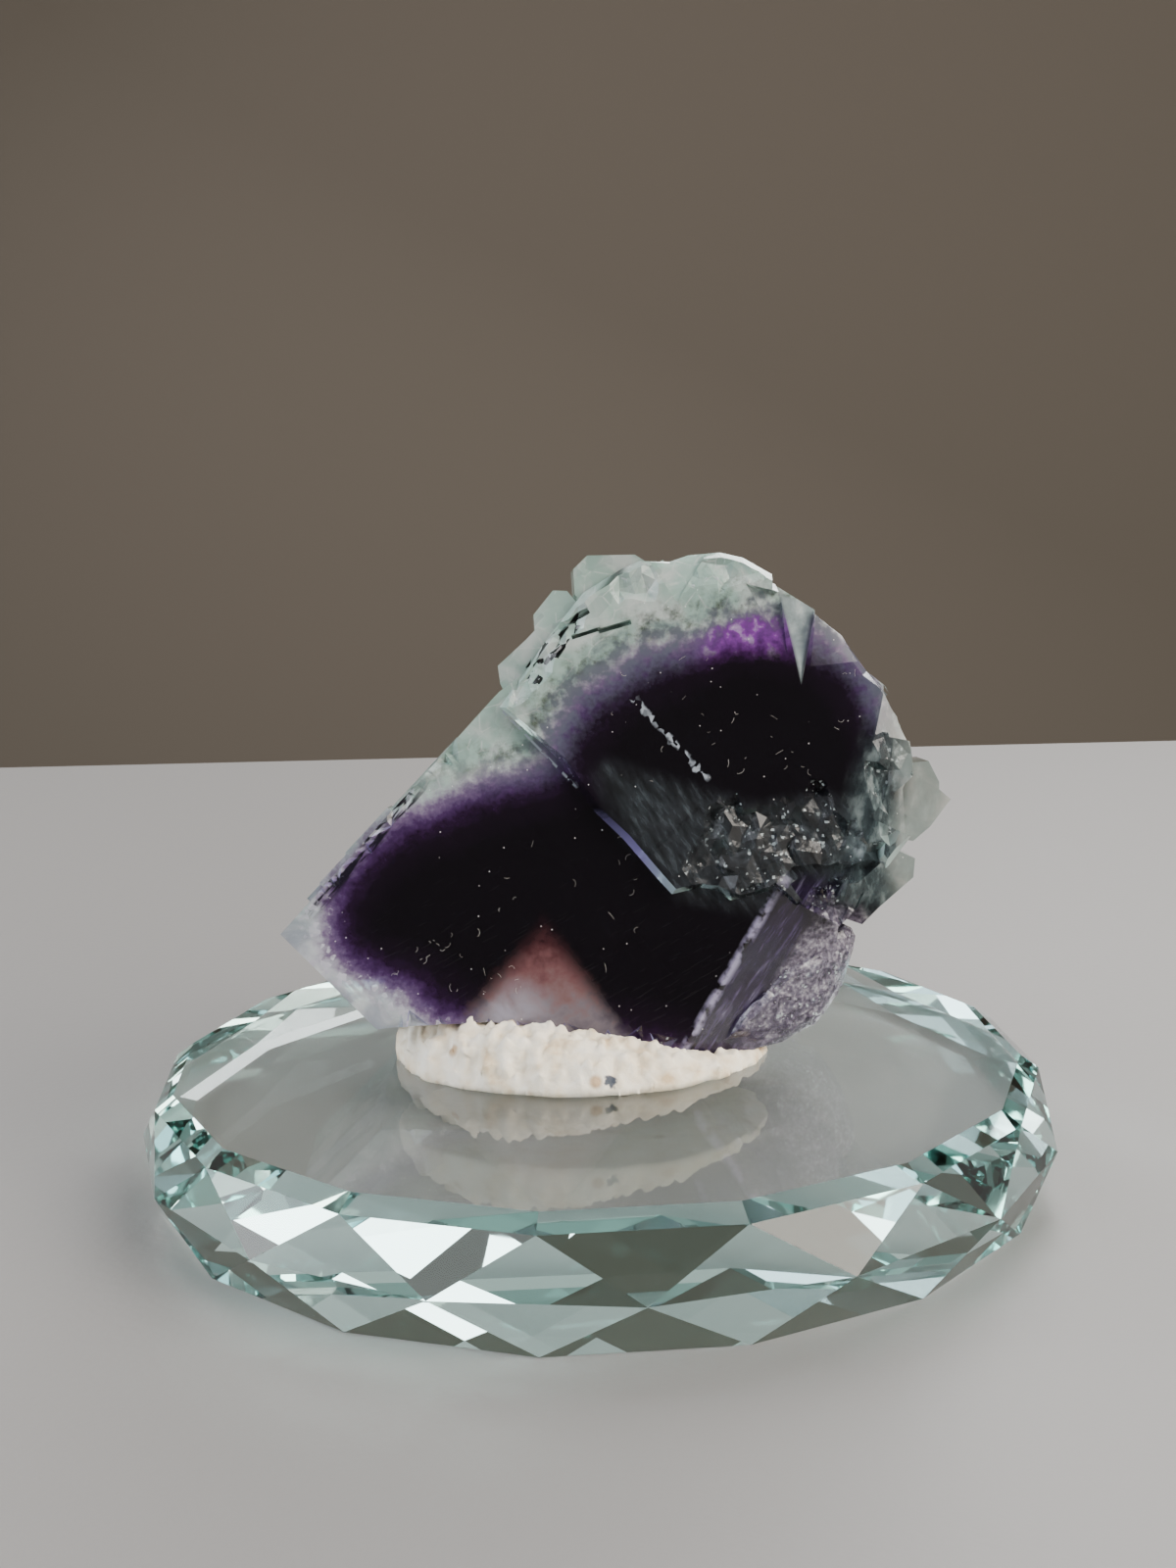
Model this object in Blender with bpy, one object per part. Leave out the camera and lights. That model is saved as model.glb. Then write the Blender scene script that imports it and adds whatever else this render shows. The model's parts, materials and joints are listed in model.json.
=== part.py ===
"""Fluorite crystals held by a putty pad on a faceted glass disc.

Metres, +Z up. The origin is the middle of the disc's underside, and -Y is the front.
The crystals are drawn in the frame of their big front face: u runs right, v runs up the
face and w runs out of it towards the front.
"""
import math
import random

import bmesh
import bpy
from mathutils import Matrix, Vector, noise

MM = 0.001
GAP = 0.3 * MM
WELD = 0.004 * MM
SEAT_CLEARANCE = 0.45 * MM  # the putty keeps this far off the crystals

# Glass disc: four rings of corners, a round brilliant cut spread flat
DISC_SIDES = 16
DISC_TURN = math.radians(-6.8)
TABLE_RADIUS, TABLE_HEIGHT = 46.1 * MM, 12.7 * MM
SHOULDER_RADIUS, SHOULDER_HEIGHT = 48.05 * MM, 11.3 * MM
GIRDLE_RADIUS, GIRDLE_HEIGHT = 50.0 * MM, 5.4 * MM
FOOT_RADIUS = 48.1 * MM

# The crystals' front face: its foot in the world and how far it leans back
FACE_FOOT = Vector((0.0, -9.0 * MM, TABLE_HEIGHT + 6.0 * MM))
FACE_LEAN = math.radians(8.0)
CRYSTAL_FLOOR = TABLE_HEIGHT + 1.1 * MM  # the lowest that the broken foot reaches
CUBE_TURN = math.radians(45.5)  # the cubes stand on a corner, so their edges run diagonally

# Front faces in millimetres (u, v)
LOWER_CUBE_W, LOWER_CUBE_BACK = 0.0, -19.0
LOWER_CUBE = [
    (-33.1, 9.9), (-23.2, -0.4), (-17.4, -0.1), (-11.2, 0.1), (-5.0, -0.8), (1.2, -2.2),
    (8.9, -3.6), (12.5, -4.3), (17.0, -4.2), (21.5, -2.4), (24.4, 0.6), (26.2, 5.0),
    (26.6, 12.0), (29.0, 20.0), (29.0, 29.0), (25.0, 37.0), (16.0, 43.0), (4.0, 43.6),
    (-4.6, 38.4), (-9.4, 34.9), (-10.2, 34.1),
]
UPPER_CUBE_W, UPPER_PLATE_BACK = 1.7, -3.2
UPPER_STEP = 0.8  # how far the slanting step round the upper face widens it
UPPER_CUBE = [
    (-8.6, 33.2), (-2.6, 27.9), (1.2, 22.3), (3.9, 19.7), (7.4, 15.4), (8.7, 13.9),
    (11.6, 14.6), (13.2, 14.3), (14.6, 13.2), (18.5, 14.1), (19.1, 14.6), (21.2, 12.4),
    (22.0, 12.5), (23.6, 10.9), (25.2, 12.6), (26.6, 13.9), (28.0, 14.0), (30.6, 16.2),
    (33.0, 19.2), (32.8, 23.8), (33.4, 25.0), (33.0, 28.2), (32.3, 31.4), (31.0, 33.2),
    (30.4, 34.4), (28.6, 35.8), (26.9, 38.2), (26.2, 39.4), (24.0, 41.2), (23.0, 43.2),
    (19.4, 44.9), (19.4, 45.8), (16.5, 47.6), (14.2, 48.2), (11.0, 48.0), (9.1, 47.4),
    (6.1, 47.6), (4.3, 46.9), (0.3, 44.6), (-1.5, 42.4), (-3.7, 39.8), (-5.3, 37.4),
]
UPPER_CORE = [
    (-3.0, 26.0), (8.0, 12.0), (22.0, 11.6), (30.4, 19.0), (30.6, 29.0), (24.6, 38.6),
    (15.0, 44.6), (4.0, 44.0), (-3.6, 37.6),
]
UPPER_CORE_BACK = -17.0

# Blocks whose faces show beside the front face: name, front w, back w, slopes along u and v, outline
SIDE_BLOCKS = [
    ("top_left", -0.6, -6.5, -0.05, 0.16, [
        (-1.2, 45.0), (-1.3, 47.6), (0.2, 49.0), (5.2, 49.0), (6.9, 47.9), (7.4, 43.6),
        (0.8, 42.6)]),
    ("upper_left", -0.8, -8.5, 0.14, -0.10, [
        (-5.5, 41.2), (-5.6, 43.0), (-3.5, 45.5), (-2.0, 45.4), (-0.6, 43.6), (1.2, 40.4),
        (-3.0, 38.6)]),
    ("left", -0.9, -9.0, 0.12, 0.10, [
        (-9.3, 35.8), (-9.5, 37.7), (-6.4, 40.4), (-5.2, 41.6), (-2.8, 40.2), (-4.4, 35.8),
        (-7.4, 32.0)]),
    ("right", -4.6, -12.5, -0.22, 0.12, [
        (31.0, 26.2), (36.4, 26.5), (37.6, 24.2), (37.6, 23.4), (38.9, 22.3), (36.6, 19.4),
        (34.7, 17.9), (30.4, 18.6)]),
    ("right_ledge", -5.2, -13.0, -0.12, -0.22, [
        (31.6, 17.6), (35.1, 15.9), (34.8, 13.9), (30.8, 10.8), (28.9, 9.1), (24.8, 10.6),
        (26.6, 16.0)]),
    ("under_step", -1.2, -12.0, -0.20, 0.10, [
        (19.6, 14.8), (22.4, 11.4), (26.2, 9.2), (29.6, 12.6), (27.6, 17.6)]),
]

# Cubes of the back, the natural side: centre (u, v), half size, back w, twist, tilt
BACK_CUBES = [
    (-20.6, 11.0, 7.6, -24.0, 1.0, -3.0),
    (-12.6, 6.6, 4.6, -28.0, 8.0, 9.0),
    (-11.6, 20.6, 8.0, -23.4, -2.0, 4.0),
    (-2.4, 9.4, 7.2, -26.0, -5.0, -7.0),
    (1.0, 21.8, 7.8, -29.0, 3.0, 6.0),
    (9.4, 7.6, 6.0, -23.0, 7.0, 12.0),
    (-1.8, 33.0, 6.6, -24.0, 5.0, -8.0),
    (13.0, 29.6, 8.0, -25.6, -4.0, 5.0),
    (10.0, 39.4, 5.4, -22.0, 10.0, 13.0),
    (19.6, 19.4, 6.8, -23.0, 4.0, -10.0),
    (24.6, 31.0, 5.8, -20.6, -8.0, 9.0),
    (19.2, 9.4, 5.0, -18.6, -3.0, -14.0),
    (4.0, 30.4, 3.4, -29.6, 16.0, 15.0),
    (-6.0, 15.6, 3.2, -28.6, -12.0, -16.0),
]
BACK_ROOT_W = -8.0

# The broken lower right: a cleavage plane that falls away from the ridge, and a rough lobe on it
CLEAVAGE_RIDGE = [(19.5, 13.6), (8.9, -3.6)]
CLEAVAGE_FALL = 0.56
LOBE_CENTRE = (19.6, 1.6)
LOBE = [
    (10.4, -4.4), (14.1, -4.9), (17.1, -5.2), (20.1, -4.6), (22.6, -3.2), (24.5, -2.6),
    (26.1, -0.6), (27.6, 2.0), (28.4, 4.4), (28.9, 6.2), (29.0, 7.8), (27.6, 8.6),
    (24.6, 7.4), (20.0, 4.8), (15.4, 0.8), (12.6, -2.2),
]
LOBE_RISE, LOBE_HALF_DEPTH = 1.0, 5.6

# Rough fractures: name, outline on the front face, level, depth, roughness, grid and seed
FRACTURES = [
    ("hollow", [
        (13.4, 22.9), (17.1, 22.0), (21.3, 22.6), (23.3, 24.4), (25.4, 23.4), (28.2, 18.4),
        (31.6, 16.4), (28.0, 12.6), (24.2, 10.0), (19.4, 13.4), (13.0, 13.2), (9.6, 15.4)],
     UPPER_CUBE_W, 0.85, 0.55, 1.35, 3),
    ("right_edge", [(30.4, 31.0), (34.6, 31.0), (34.8, 17.0), (30.4, 18.0), (29.2, 24.0)],
     UPPER_CUBE_W, 1.05, 0.50, 1.6, 8),
    ("streaks", [(22.6, 12.4), (27.2, 14.8), (29.6, 11.6), (26.0, 8.2)],
     -1.0, 0.7, 0.55, 1.2, 5),
    ("top_edge", [(1.6, 46.4), (9.0, 49.4), (19.6, 47.6), (16.4, 45.0), (9.6, 45.4), (4.4, 44.2)],
     UPPER_CUBE_W, 0.55, 0.40, 1.5, 12),
    ("upper_rim", [(-9.6, 33.6), (-7.2, 41.0), (-1.6, 46.4), (0.8, 43.0), (-3.4, 38.4),
                   (-6.2, 34.0)],
     UPPER_CUBE_W, 0.75, 0.45, 1.4, 15),
]

# Putty pad: half widths of its foot on the glass, the height along X, and its section
PUTTY_MIDDLE = Vector((-1.6 * MM, 0.0, 0.0))
PUTTY_HALF_WIDTH, PUTTY_FRONT, PUTTY_BACK = 20.4 * MM, 16.2 * MM, 13.0 * MM
PUTTY_HEIGHTS = [(-22.0, 6.3), (-12.0, 6.2), (-5.0, 5.6), (1.2, 4.4), (9.0, 3.2), (19.0, 1.5)]
PUTTY_SECTION = [
    (1.0, 0.0), (1.0, 0.10), (0.975, 0.30), (0.93, 0.55), (0.87, 0.76), (0.78, 0.91),
    (0.66, 0.99), (0.40, 1.0),
]


def clear_scene():
    """Remove whatever the scene holds."""
    for item in list(bpy.data.objects):
        bpy.data.objects.remove(item, do_unlink=True)


def finish(name, colour, roughness, transmission=0.0, ior=1.5):
    """A Principled material from a plain colour."""
    result = bpy.data.materials.new(name)
    result.use_nodes = True
    shader = result.node_tree.nodes["Principled BSDF"]
    shader.inputs["Base Color"].default_value = (*colour, 1.0)
    shader.inputs["Roughness"].default_value = roughness
    shader.inputs["Metallic"].default_value = 0.0
    shader.inputs["Transmission Weight"].default_value = transmission
    shader.inputs["IOR"].default_value = ior
    return result


def solid(name, points, faces):
    """A closed triangulated object with its faces turned outwards."""
    mesh = bpy.data.meshes.new(name)
    mesh.from_pydata([tuple(point) for point in points], [], faces)
    shape = bmesh.new()
    shape.from_mesh(mesh)
    bmesh.ops.triangulate(shape, faces=shape.faces[:])
    bmesh.ops.recalc_face_normals(shape, faces=shape.faces[:])
    shape.to_mesh(mesh)
    shape.free()
    result = bpy.data.objects.new(name, mesh)
    bpy.context.scene.collection.objects.link(result)
    return result


def on_face(u, v, w):
    """A point of the crystals' own frame, from millimetres on the front face."""
    return Vector((u, -w, v)) * MM


def prism(name, outline, front_w, back_w, spread=0.0, slope=(0.0, 0.0)):
    """A prism of an outline; its back is spread all round and its front may slope."""
    middle = sum((Vector(point) for point in outline), Vector((0.0, 0.0))) / len(outline)
    points = []
    for u, v in outline:
        rise = slope[0] * (u - middle.x) + slope[1] * (v - middle.y)
        points.append(on_face(u, v, front_w + rise))
    for u, v in outline:
        away = (Vector((u, v)) - middle).normalized() * spread
        points.append(on_face(u + away.x, v + away.y, back_w))
    count = len(outline)
    faces = [list(range(count)), list(range(2 * count - 1, count - 1, -1))]
    for step in range(count):
        after = (step + 1) % count
        faces.append([step, count + step, count + after, after])
    return solid(name, points, faces)


def pit(name, centre, sides, radius, depth, turn, skew):
    """An upside-down pyramid whose tip sinks by a depth below a point of the face."""
    u, v, w = centre
    lift = depth * 0.6
    points = [on_face(u + skew[0] * radius, v + skew[1] * radius, w - depth)]
    for corner in range(sides):
        angle = turn + math.tau * corner / sides
        reach = radius * (depth + lift) / depth
        points.append(on_face(u + reach * math.cos(angle), v + reach * math.sin(angle), w + lift))
    faces = [[0, 1 + corner, 1 + (corner + 1) % sides] for corner in range(sides)]
    faces.append([1 + corner for corner in range(sides)])
    return solid(name, points, faces)


def block(name, centre, half, turn, tilt=0.0, about="X"):
    """A box: centre and half sizes in millimetres, turned in the face and then tilted."""
    corners = [
        Vector((x, y, z)) for x in (-half[0], half[0]) for y in (-half[2], half[2])
        for z in (-half[1], half[1])
    ]
    spin = Matrix.Rotation(turn, 3, "Y") @ Matrix.Rotation(tilt, 3, about)
    points = [spin @ corner * MM + on_face(*centre) for corner in corners]
    faces = [[0, 1, 3, 2], [4, 6, 7, 5], [0, 4, 5, 1], [2, 3, 7, 6], [0, 2, 6, 4], [1, 5, 7, 3]]
    return solid(name, points, faces)


def combine(body, tool, operation, crossing=False):
    """Join a tool to a body or cut it away, and drop the tool; crossing tools fold over themselves."""
    step = body.modifiers.new(operation.title(), "BOOLEAN")
    step.operation = operation
    step.solver = "EXACT"
    step.use_self = crossing
    step.object = tool
    graph = bpy.context.evaluated_depsgraph_get()
    result = bpy.data.meshes.new_from_object(body.evaluated_get(graph))
    body.modifiers.remove(step)
    used = body.data
    body.data = result
    bpy.data.meshes.remove(used)
    bpy.data.objects.remove(tool, do_unlink=True)


def glass_disc():
    """The faceted disc: table, bevel, two rows of triangles and a flat foot."""
    def ring(radius, height, offset):
        angles = [DISC_TURN + (k + offset) * math.tau / DISC_SIDES for k in range(DISC_SIDES)]
        return [Vector((radius * math.sin(a), -radius * math.cos(a), height)) for a in angles]

    points = (
        ring(TABLE_RADIUS, TABLE_HEIGHT, 0.0) + ring(SHOULDER_RADIUS, SHOULDER_HEIGHT, 0.0)
        + ring(GIRDLE_RADIUS, GIRDLE_HEIGHT, 0.5) + ring(FOOT_RADIUS, 0.0, 0.0)
    )
    table, shoulder, girdle, foot = (row * DISC_SIDES for row in range(4))
    faces = [list(range(DISC_SIDES)), [foot + k for k in reversed(range(DISC_SIDES))]]
    for k in range(DISC_SIDES):
        after = (k + 1) % DISC_SIDES
        faces.append([table + k, shoulder + k, shoulder + after, table + after])
        faces.append([shoulder + k, girdle + k, shoulder + after])
        faces.append([girdle + k, girdle + after, shoulder + after])
        faces.append([foot + k, foot + after, girdle + k])
        faces.append([girdle + k, foot + after, girdle + after])
    disc = solid("glass_disc", points, faces)
    disc.data.materials.append(finish("clear_glass", (0.78, 0.90, 0.88), 0.02, 0.95, 1.52))
    return disc


def outline_reach(outline, centre, angle):
    """How far an outline lies from its centre in one direction."""
    ray = Vector((math.cos(angle), math.sin(angle)))
    best = 0.0
    for start, end in zip(outline, outline[1:] + outline[:1]):
        first = Vector(start) - Vector(centre)
        edge = Vector(end) - Vector(start)
        cross = ray.x * edge.y - ray.y * edge.x
        if abs(cross) < 1e-9:
            continue
        distance = (first.x * edge.y - first.y * edge.x) / cross
        along = (first.x * ray.y - first.y * ray.x) / cross
        if distance > best and -1e-6 <= along <= 1.0 + 1e-6:
            best = distance
    return best


def ridge_distance(u, v):
    """How far a point of the face lies to the right of the ridge, in millimetres."""
    top, foot = Vector(CLEAVAGE_RIDGE[0]), Vector(CLEAVAGE_RIDGE[1])
    along = (foot - top).normalized()
    return (Vector((u, v)) - top).dot(Vector((-along.y, along.x)))


def inside(outline, u, v):
    """Whether a point lies inside an outline."""
    within = False
    for (u0, v0), (u1, v1) in zip(outline, outline[1:] + outline[:1]):
        if (v0 > v) != (v1 > v) and u < (u1 - u0) * (v - v0) / (v1 - v0) + u0:
            within = not within
    return within


def rough_lobe():
    """The rounded broken lobe: a hackly lens that lies along the cleavage plane."""
    shape = bmesh.new()
    bmesh.ops.create_icosphere(shape, subdivisions=4, radius=1.0)
    points = []
    for vertex in shape.verts:
        right, up, out = vertex.co
        flat = math.hypot(right, up)
        reach = outline_reach(LOBE, LOBE_CENTRE, math.atan2(up, right)) * flat ** 0.7
        u = LOBE_CENTRE[0] + reach * right / max(flat, 1e-6)
        v = LOBE_CENTRE[1] + reach * up / max(flat, 1e-6)
        plane = -CLEAVAGE_FALL * max(ridge_distance(u, v), 0.0)
        bulge = math.copysign(abs(out) ** 0.8, out)
        w = plane + LOBE_RISE - LOBE_HALF_DEPTH * (1.0 - bulge)
        grain = noise.noise(Vector((u, v, w)) * 0.55) * 0.55
        grain += noise.noise(Vector((u, v, w)) * 1.5) * 0.32
        points.append(on_face(u, v, w + grain * (0.4 + 0.6 * abs(out))))
    faces = [[corner.index for corner in face.verts] for face in shape.faces]
    shape.free()
    return solid("lobe", points, faces)


def rim_cubes():
    """Small cubes all round the edge of the upper cube, behind its front face."""
    chance = random.Random(5)
    middle = Vector((14.0, 30.0))
    spots = [Vector(point) for point in UPPER_CUBE]
    spots = [spots[step] for step in range(0, len(spots), 2) if spots[step].y > 13.0]
    for number, spot in enumerate(spots):
        half = chance.uniform(2.5, 4.0)
        inward = (middle - spot).normalized() * (half * 1.12)
        front = chance.uniform(-4.4, -1.8)
        back = front - chance.uniform(5.0, 13.0)
        centre = (spot.x + inward.x, spot.y + inward.y, 0.5 * (front + back))
        sizes = (half, half * chance.uniform(0.8, 1.15), 0.5 * (front - back))
        turn = CUBE_TURN + math.radians(chance.uniform(-12.0, 12.0))
        tilt = math.radians(chance.uniform(-9.0, 9.0))
        yield block(f"rim_{number}", centre, sizes, turn, tilt)


def back_cubes():
    """The natural cubes of the back, each with a few thin growth steps."""
    chance = random.Random(11)
    for number, (u, v, half, back, twist, tilt) in enumerate(BACK_CUBES):
        turn = CUBE_TURN + math.radians(twist)
        lean = math.radians(tilt)
        centre = (u, v, 0.5 * (back + BACK_ROOT_W))
        stretch = chance.uniform(0.88, 1.14)
        sizes = (half * stretch, half / stretch, 0.5 * (BACK_ROOT_W - back))
        yield block(f"back_{number}", centre, sizes, turn, lean)
        for plate in range(2 if half > 4.0 else 0):
            share = 0.78 - 0.24 * plate
            rise = 0.7 * (plate + 1) + chance.uniform(0.0, 0.3)
            shift_u = chance.uniform(-0.14, 0.14) * half
            shift_v = chance.uniform(-0.14, 0.14) * half
            drop = sizes[2] + rise - 1.0
            spot = (u + shift_u, v + shift_v, centre[2] - drop * math.cos(lean))
            sheet = (sizes[0] * share, sizes[1] * share, 1.0)
            yield block(f"step_{number}_{plate}", spot, sheet, turn, lean)


def wall_steps():
    """Thin growth plates on the two long walls of the lower cube."""
    chance = random.Random(31)
    walls = [((-31.0, 12.2), (-12.0, 31.6), 1.0), ((-31.0, 7.6), (-24.4, 1.2), -1.0)]
    for wall, (start, end, side) in enumerate(walls):
        run = Vector(end) - Vector(start)
        out = Vector((-run.y, run.x)).normalized() * side
        for number in range(8 if wall == 0 else 4):
            spot = Vector(start) + run * chance.uniform(0.12, 0.88) - out * 1.2
            length = chance.uniform(2.6, 6.4)
            thick = 1.3 + chance.uniform(0.35, 0.95)
            front = chance.uniform(-11.0, -4.5)
            back = max(front - chance.uniform(4.0, 11.0), LOWER_CUBE_BACK + 0.7)
            centre = (spot.x, spot.y, 0.5 * (front + back))
            sizes = (min(length, run.length * 0.42), thick, 0.5 * (front - back))
            turn = -math.atan2(run.y, run.x)
            yield block(f"wall_{wall}_{number}", centre, sizes, turn)


def crystal_blocks():
    """Every block that has grown together with the lower cube."""
    yield prism("upper_plate", UPPER_CUBE, UPPER_CUBE_W, 0.0, UPPER_STEP)
    yield prism("upper_edge", UPPER_CUBE, 0.6, UPPER_PLATE_BACK, 0.4)
    yield prism("upper_core", UPPER_CORE, -1.5, UPPER_CORE_BACK, -1.0)
    yield rough_lobe()
    for name, front, back, slope_u, slope_v, outline in SIDE_BLOCKS:
        yield prism(name, outline, front, back, 0.3, (slope_u, slope_v))
    yield from rim_cubes()
    yield from back_cubes()
    yield from wall_steps()


def cleavage_cutter():
    """The wedge that takes the right side off along the ridge."""
    top, foot = Vector(CLEAVAGE_RIDGE[0]), Vector(CLEAVAGE_RIDGE[1])
    along = (foot - top).normalized()
    aside = Vector((-along.y, along.x))
    points = []
    for reach, out in ((0.0, 0.0), (0.0, 6.0), (20.0, 6.0), (20.0, -20.0 * CLEAVAGE_FALL)):
        for start in (-0.6, 27.0):
            spot = top + along * start + aside * reach
            points.append(on_face(spot.x, spot.y, out))
    faces = [[0, 2, 4, 6], [1, 7, 5, 3], [0, 1, 3, 2], [2, 3, 5, 4], [4, 5, 7, 6], [6, 7, 1, 0]]
    return solid("cleavage", points, faces)


def fractures():
    """Cutters with a jagged underside, each over one broken patch of the front."""
    for name, outline, level, depth, rough, grid, seed in FRACTURES:
        chance = random.Random(seed)
        us, vs = [u for u, _ in outline], [v for _, v in outline]
        columns = int((max(us) - min(us)) / grid) + 4
        rows = int((max(vs) - min(vs)) / grid) + 4
        low, high = [], []
        for row in range(rows):
            for column in range(columns):
                u = min(us) + (column - 1.5 + 0.5 * (row % 2)) * grid
                v = min(vs) + (row - 1.5) * grid
                u += chance.uniform(-0.36, 0.36) * grid
                v += chance.uniform(-0.36, 0.36) * grid
                sunk = inside(outline, u, v) and 0 < row < rows - 1 and 0 < column < columns - 1
                drop = -depth + chance.uniform(-rough, rough) if sunk else 0.45
                low.append(on_face(u, v, level + drop))
                high.append(on_face(u, v, level + 4.0))
        faces = []
        count = len(low)
        for row in range(rows - 1):
            for column in range(columns - 1):
                a = row * columns + column
                quad = [a, a + 1, a + columns + 1, a + columns]
                diagonal = [[0, 1, 2], [0, 2, 3]] if row % 2 else [[0, 1, 3], [1, 2, 3]]
                for corners in diagonal:
                    faces.append([quad[corner] for corner in corners])
                    faces.append([count + quad[corner] for corner in reversed(corners)])
        border = [column for column in range(columns)]
        border += [row * columns + columns - 1 for row in range(1, rows)]
        border += [(rows - 1) * columns + column for column in range(columns - 2, -1, -1)]
        border += [row * columns for row in range(rows - 2, 0, -1)]
        for first, second in zip(border, border[1:] + border[:1]):
            faces.append([first, count + first, count + second, second])
        yield solid(name, low + high, faces)


def edge_chips():
    """Small chips along the upper left edge of the lower cube and along its foot."""
    chance = random.Random(41)
    runs = [((-29.4, 14.3), (-14.6, 29.6), 20, 0.8), ((-23.0, 0.0), (8.0, -2.6), 12, 0.7)]
    for run, (start, end, count, depth) in enumerate(runs):
        for number in range(count):
            share = (number + chance.uniform(0.0, 0.9)) / count
            spot = Vector(start).lerp(Vector(end), share)
            yield pit(
                f"edge_{run}_{number}", (spot.x, spot.y, 0.0), 3, chance.uniform(0.9, 1.9),
                depth * chance.uniform(0.5, 1.2), chance.uniform(0.0, math.tau),
                (chance.uniform(-0.6, 0.6), chance.uniform(-0.6, 0.6)),
            )


def top_facets():
    """The triangular cleavage chips at the top right and the scuffed top edge."""
    top = UPPER_CUBE_W
    shapes = [
        ("chip_main", [(19.6, 46.6, -1.9), (24.4, 45.0, -2.2), (22.2, 35.3, 0.0)]),
        ("chip_side", [(24.2, 45.0, -2.4), (30.0, 37.4, -1.6), (23.2, 36.8, -0.2)]),
        ("chip_left", [(16.6, 45.6, -0.9), (20.2, 44.6, -1.2), (20.8, 38.2, 0.0)]),
        ("chip_top", [(6.4, 48.6, -1.6), (13.0, 49.4, -1.4), (9.4, 43.8, 0.0)]),
        ("chip_right", [(31.0, 34.8, -1.9), (34.6, 28.6, -2.3), (29.8, 29.6, 0.0)]),
        ("chip_low", [(34.4, 25.6, -2.5), (34.6, 18.2, -2.8), (29.0, 21.0, -0.1)]),
    ]
    for name, corners in shapes:
        points = [on_face(u, v, top + w) for u, v, w in corners]
        points += [on_face(u, v, top + 4.0) for u, v, w in corners]
        yield solid(name, points, [[0, 1, 2], [3, 5, 4], [0, 3, 4, 1], [1, 4, 5, 2], [2, 5, 3, 0]])


def cracks():
    """Thin dark openings between the rim and the front face."""
    routes = [
        ((-6.6, 36.9), (-4.9, 39.4)), ((-5.0, 39.2), (-2.6, 41.6)), ((-2.8, 41.2), (0.2, 43.2)),
        ((-1.6, 40.4), (1.4, 41.3)), ((1.2, 41.0), (4.6, 41.9)), ((-7.4, 35.0), (-6.9, 37.2)),
    ]
    for number, (start, end) in enumerate(routes):
        run = Vector(end) - Vector(start)
        middle = (Vector(start) + Vector(end)) * 0.5
        turn = -math.atan2(run.y, run.x)
        half = (run.length * 0.5, 0.20 + 0.05 * (number % 3), 1.6)
        yield block(f"crack_{number}", (middle.x, middle.y, 1.6), half, turn, 0.25, "X")


def keep_main_piece(body):
    """Drop the shards and closed bubbles that the cuts leave beside the main solid."""
    shape = bmesh.new()
    shape.from_mesh(body.data)
    bmesh.ops.remove_doubles(shape, verts=shape.verts[:], dist=WELD)
    bmesh.ops.triangulate(shape, faces=shape.faces[:])
    waiting = set(shape.faces)
    groups = []
    while waiting:
        front = [waiting.pop()]
        group = list(front)
        while front:
            for edge in front.pop().edges:
                fresh = [face for face in edge.link_faces if face in waiting]
                waiting.difference_update(fresh)
                front.extend(fresh)
                group.extend(fresh)
        groups.append(group)
    groups.sort(key=len, reverse=True)
    loose = [face for group in groups[1:] for face in group]
    bmesh.ops.delete(shape, geom=loose, context="FACES")
    shape.to_mesh(body.data)
    shape.free()


def foot_cutter():
    """The box below the broken foot, in the world's own directions."""
    foot = block("foot", (0.0, 0.0, 0.0), (60.0, 10.0, 60.0), 0.0)
    foot.location.z = CRYSTAL_FLOOR - 10.0 * MM
    bpy.context.view_layer.update()
    return foot


def fluorite_crystals():
    """The lower cube, the blocks grown onto it, and then the breaks."""
    body = prism("fluorite_crystals", LOWER_CUBE, LOWER_CUBE_W, LOWER_CUBE_BACK)
    combine(body, cleavage_cutter(), "DIFFERENCE")
    for piece in crystal_blocks():
        combine(body, piece, "UNION")
    for cutters in (fractures(), edge_chips(), top_facets(), cracks()):
        for piece in cutters:
            combine(body, piece, "DIFFERENCE")
    body.location = FACE_FOOT
    body.rotation_euler = (-FACE_LEAN, 0.0, 0.0)
    bpy.context.view_layer.update()
    combine(body, foot_cutter(), "DIFFERENCE")
    keep_main_piece(body)
    body.data.materials.clear()
    body.data.materials.append(finish("fluorite", (0.10, 0.06, 0.16), 0.12, 0.4, 1.43))
    return body


def putty_height(x):
    """The pad's height above the glass at a place along X: it falls off to the right."""
    for (start, low), (end, high) in zip(PUTTY_HEIGHTS, PUTTY_HEIGHTS[1:]):
        if x <= end:
            share = max((x - start) / (end - start), 0.0)
            return low + (high - low) * share
    return PUTTY_HEIGHTS[-1][1]


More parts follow.
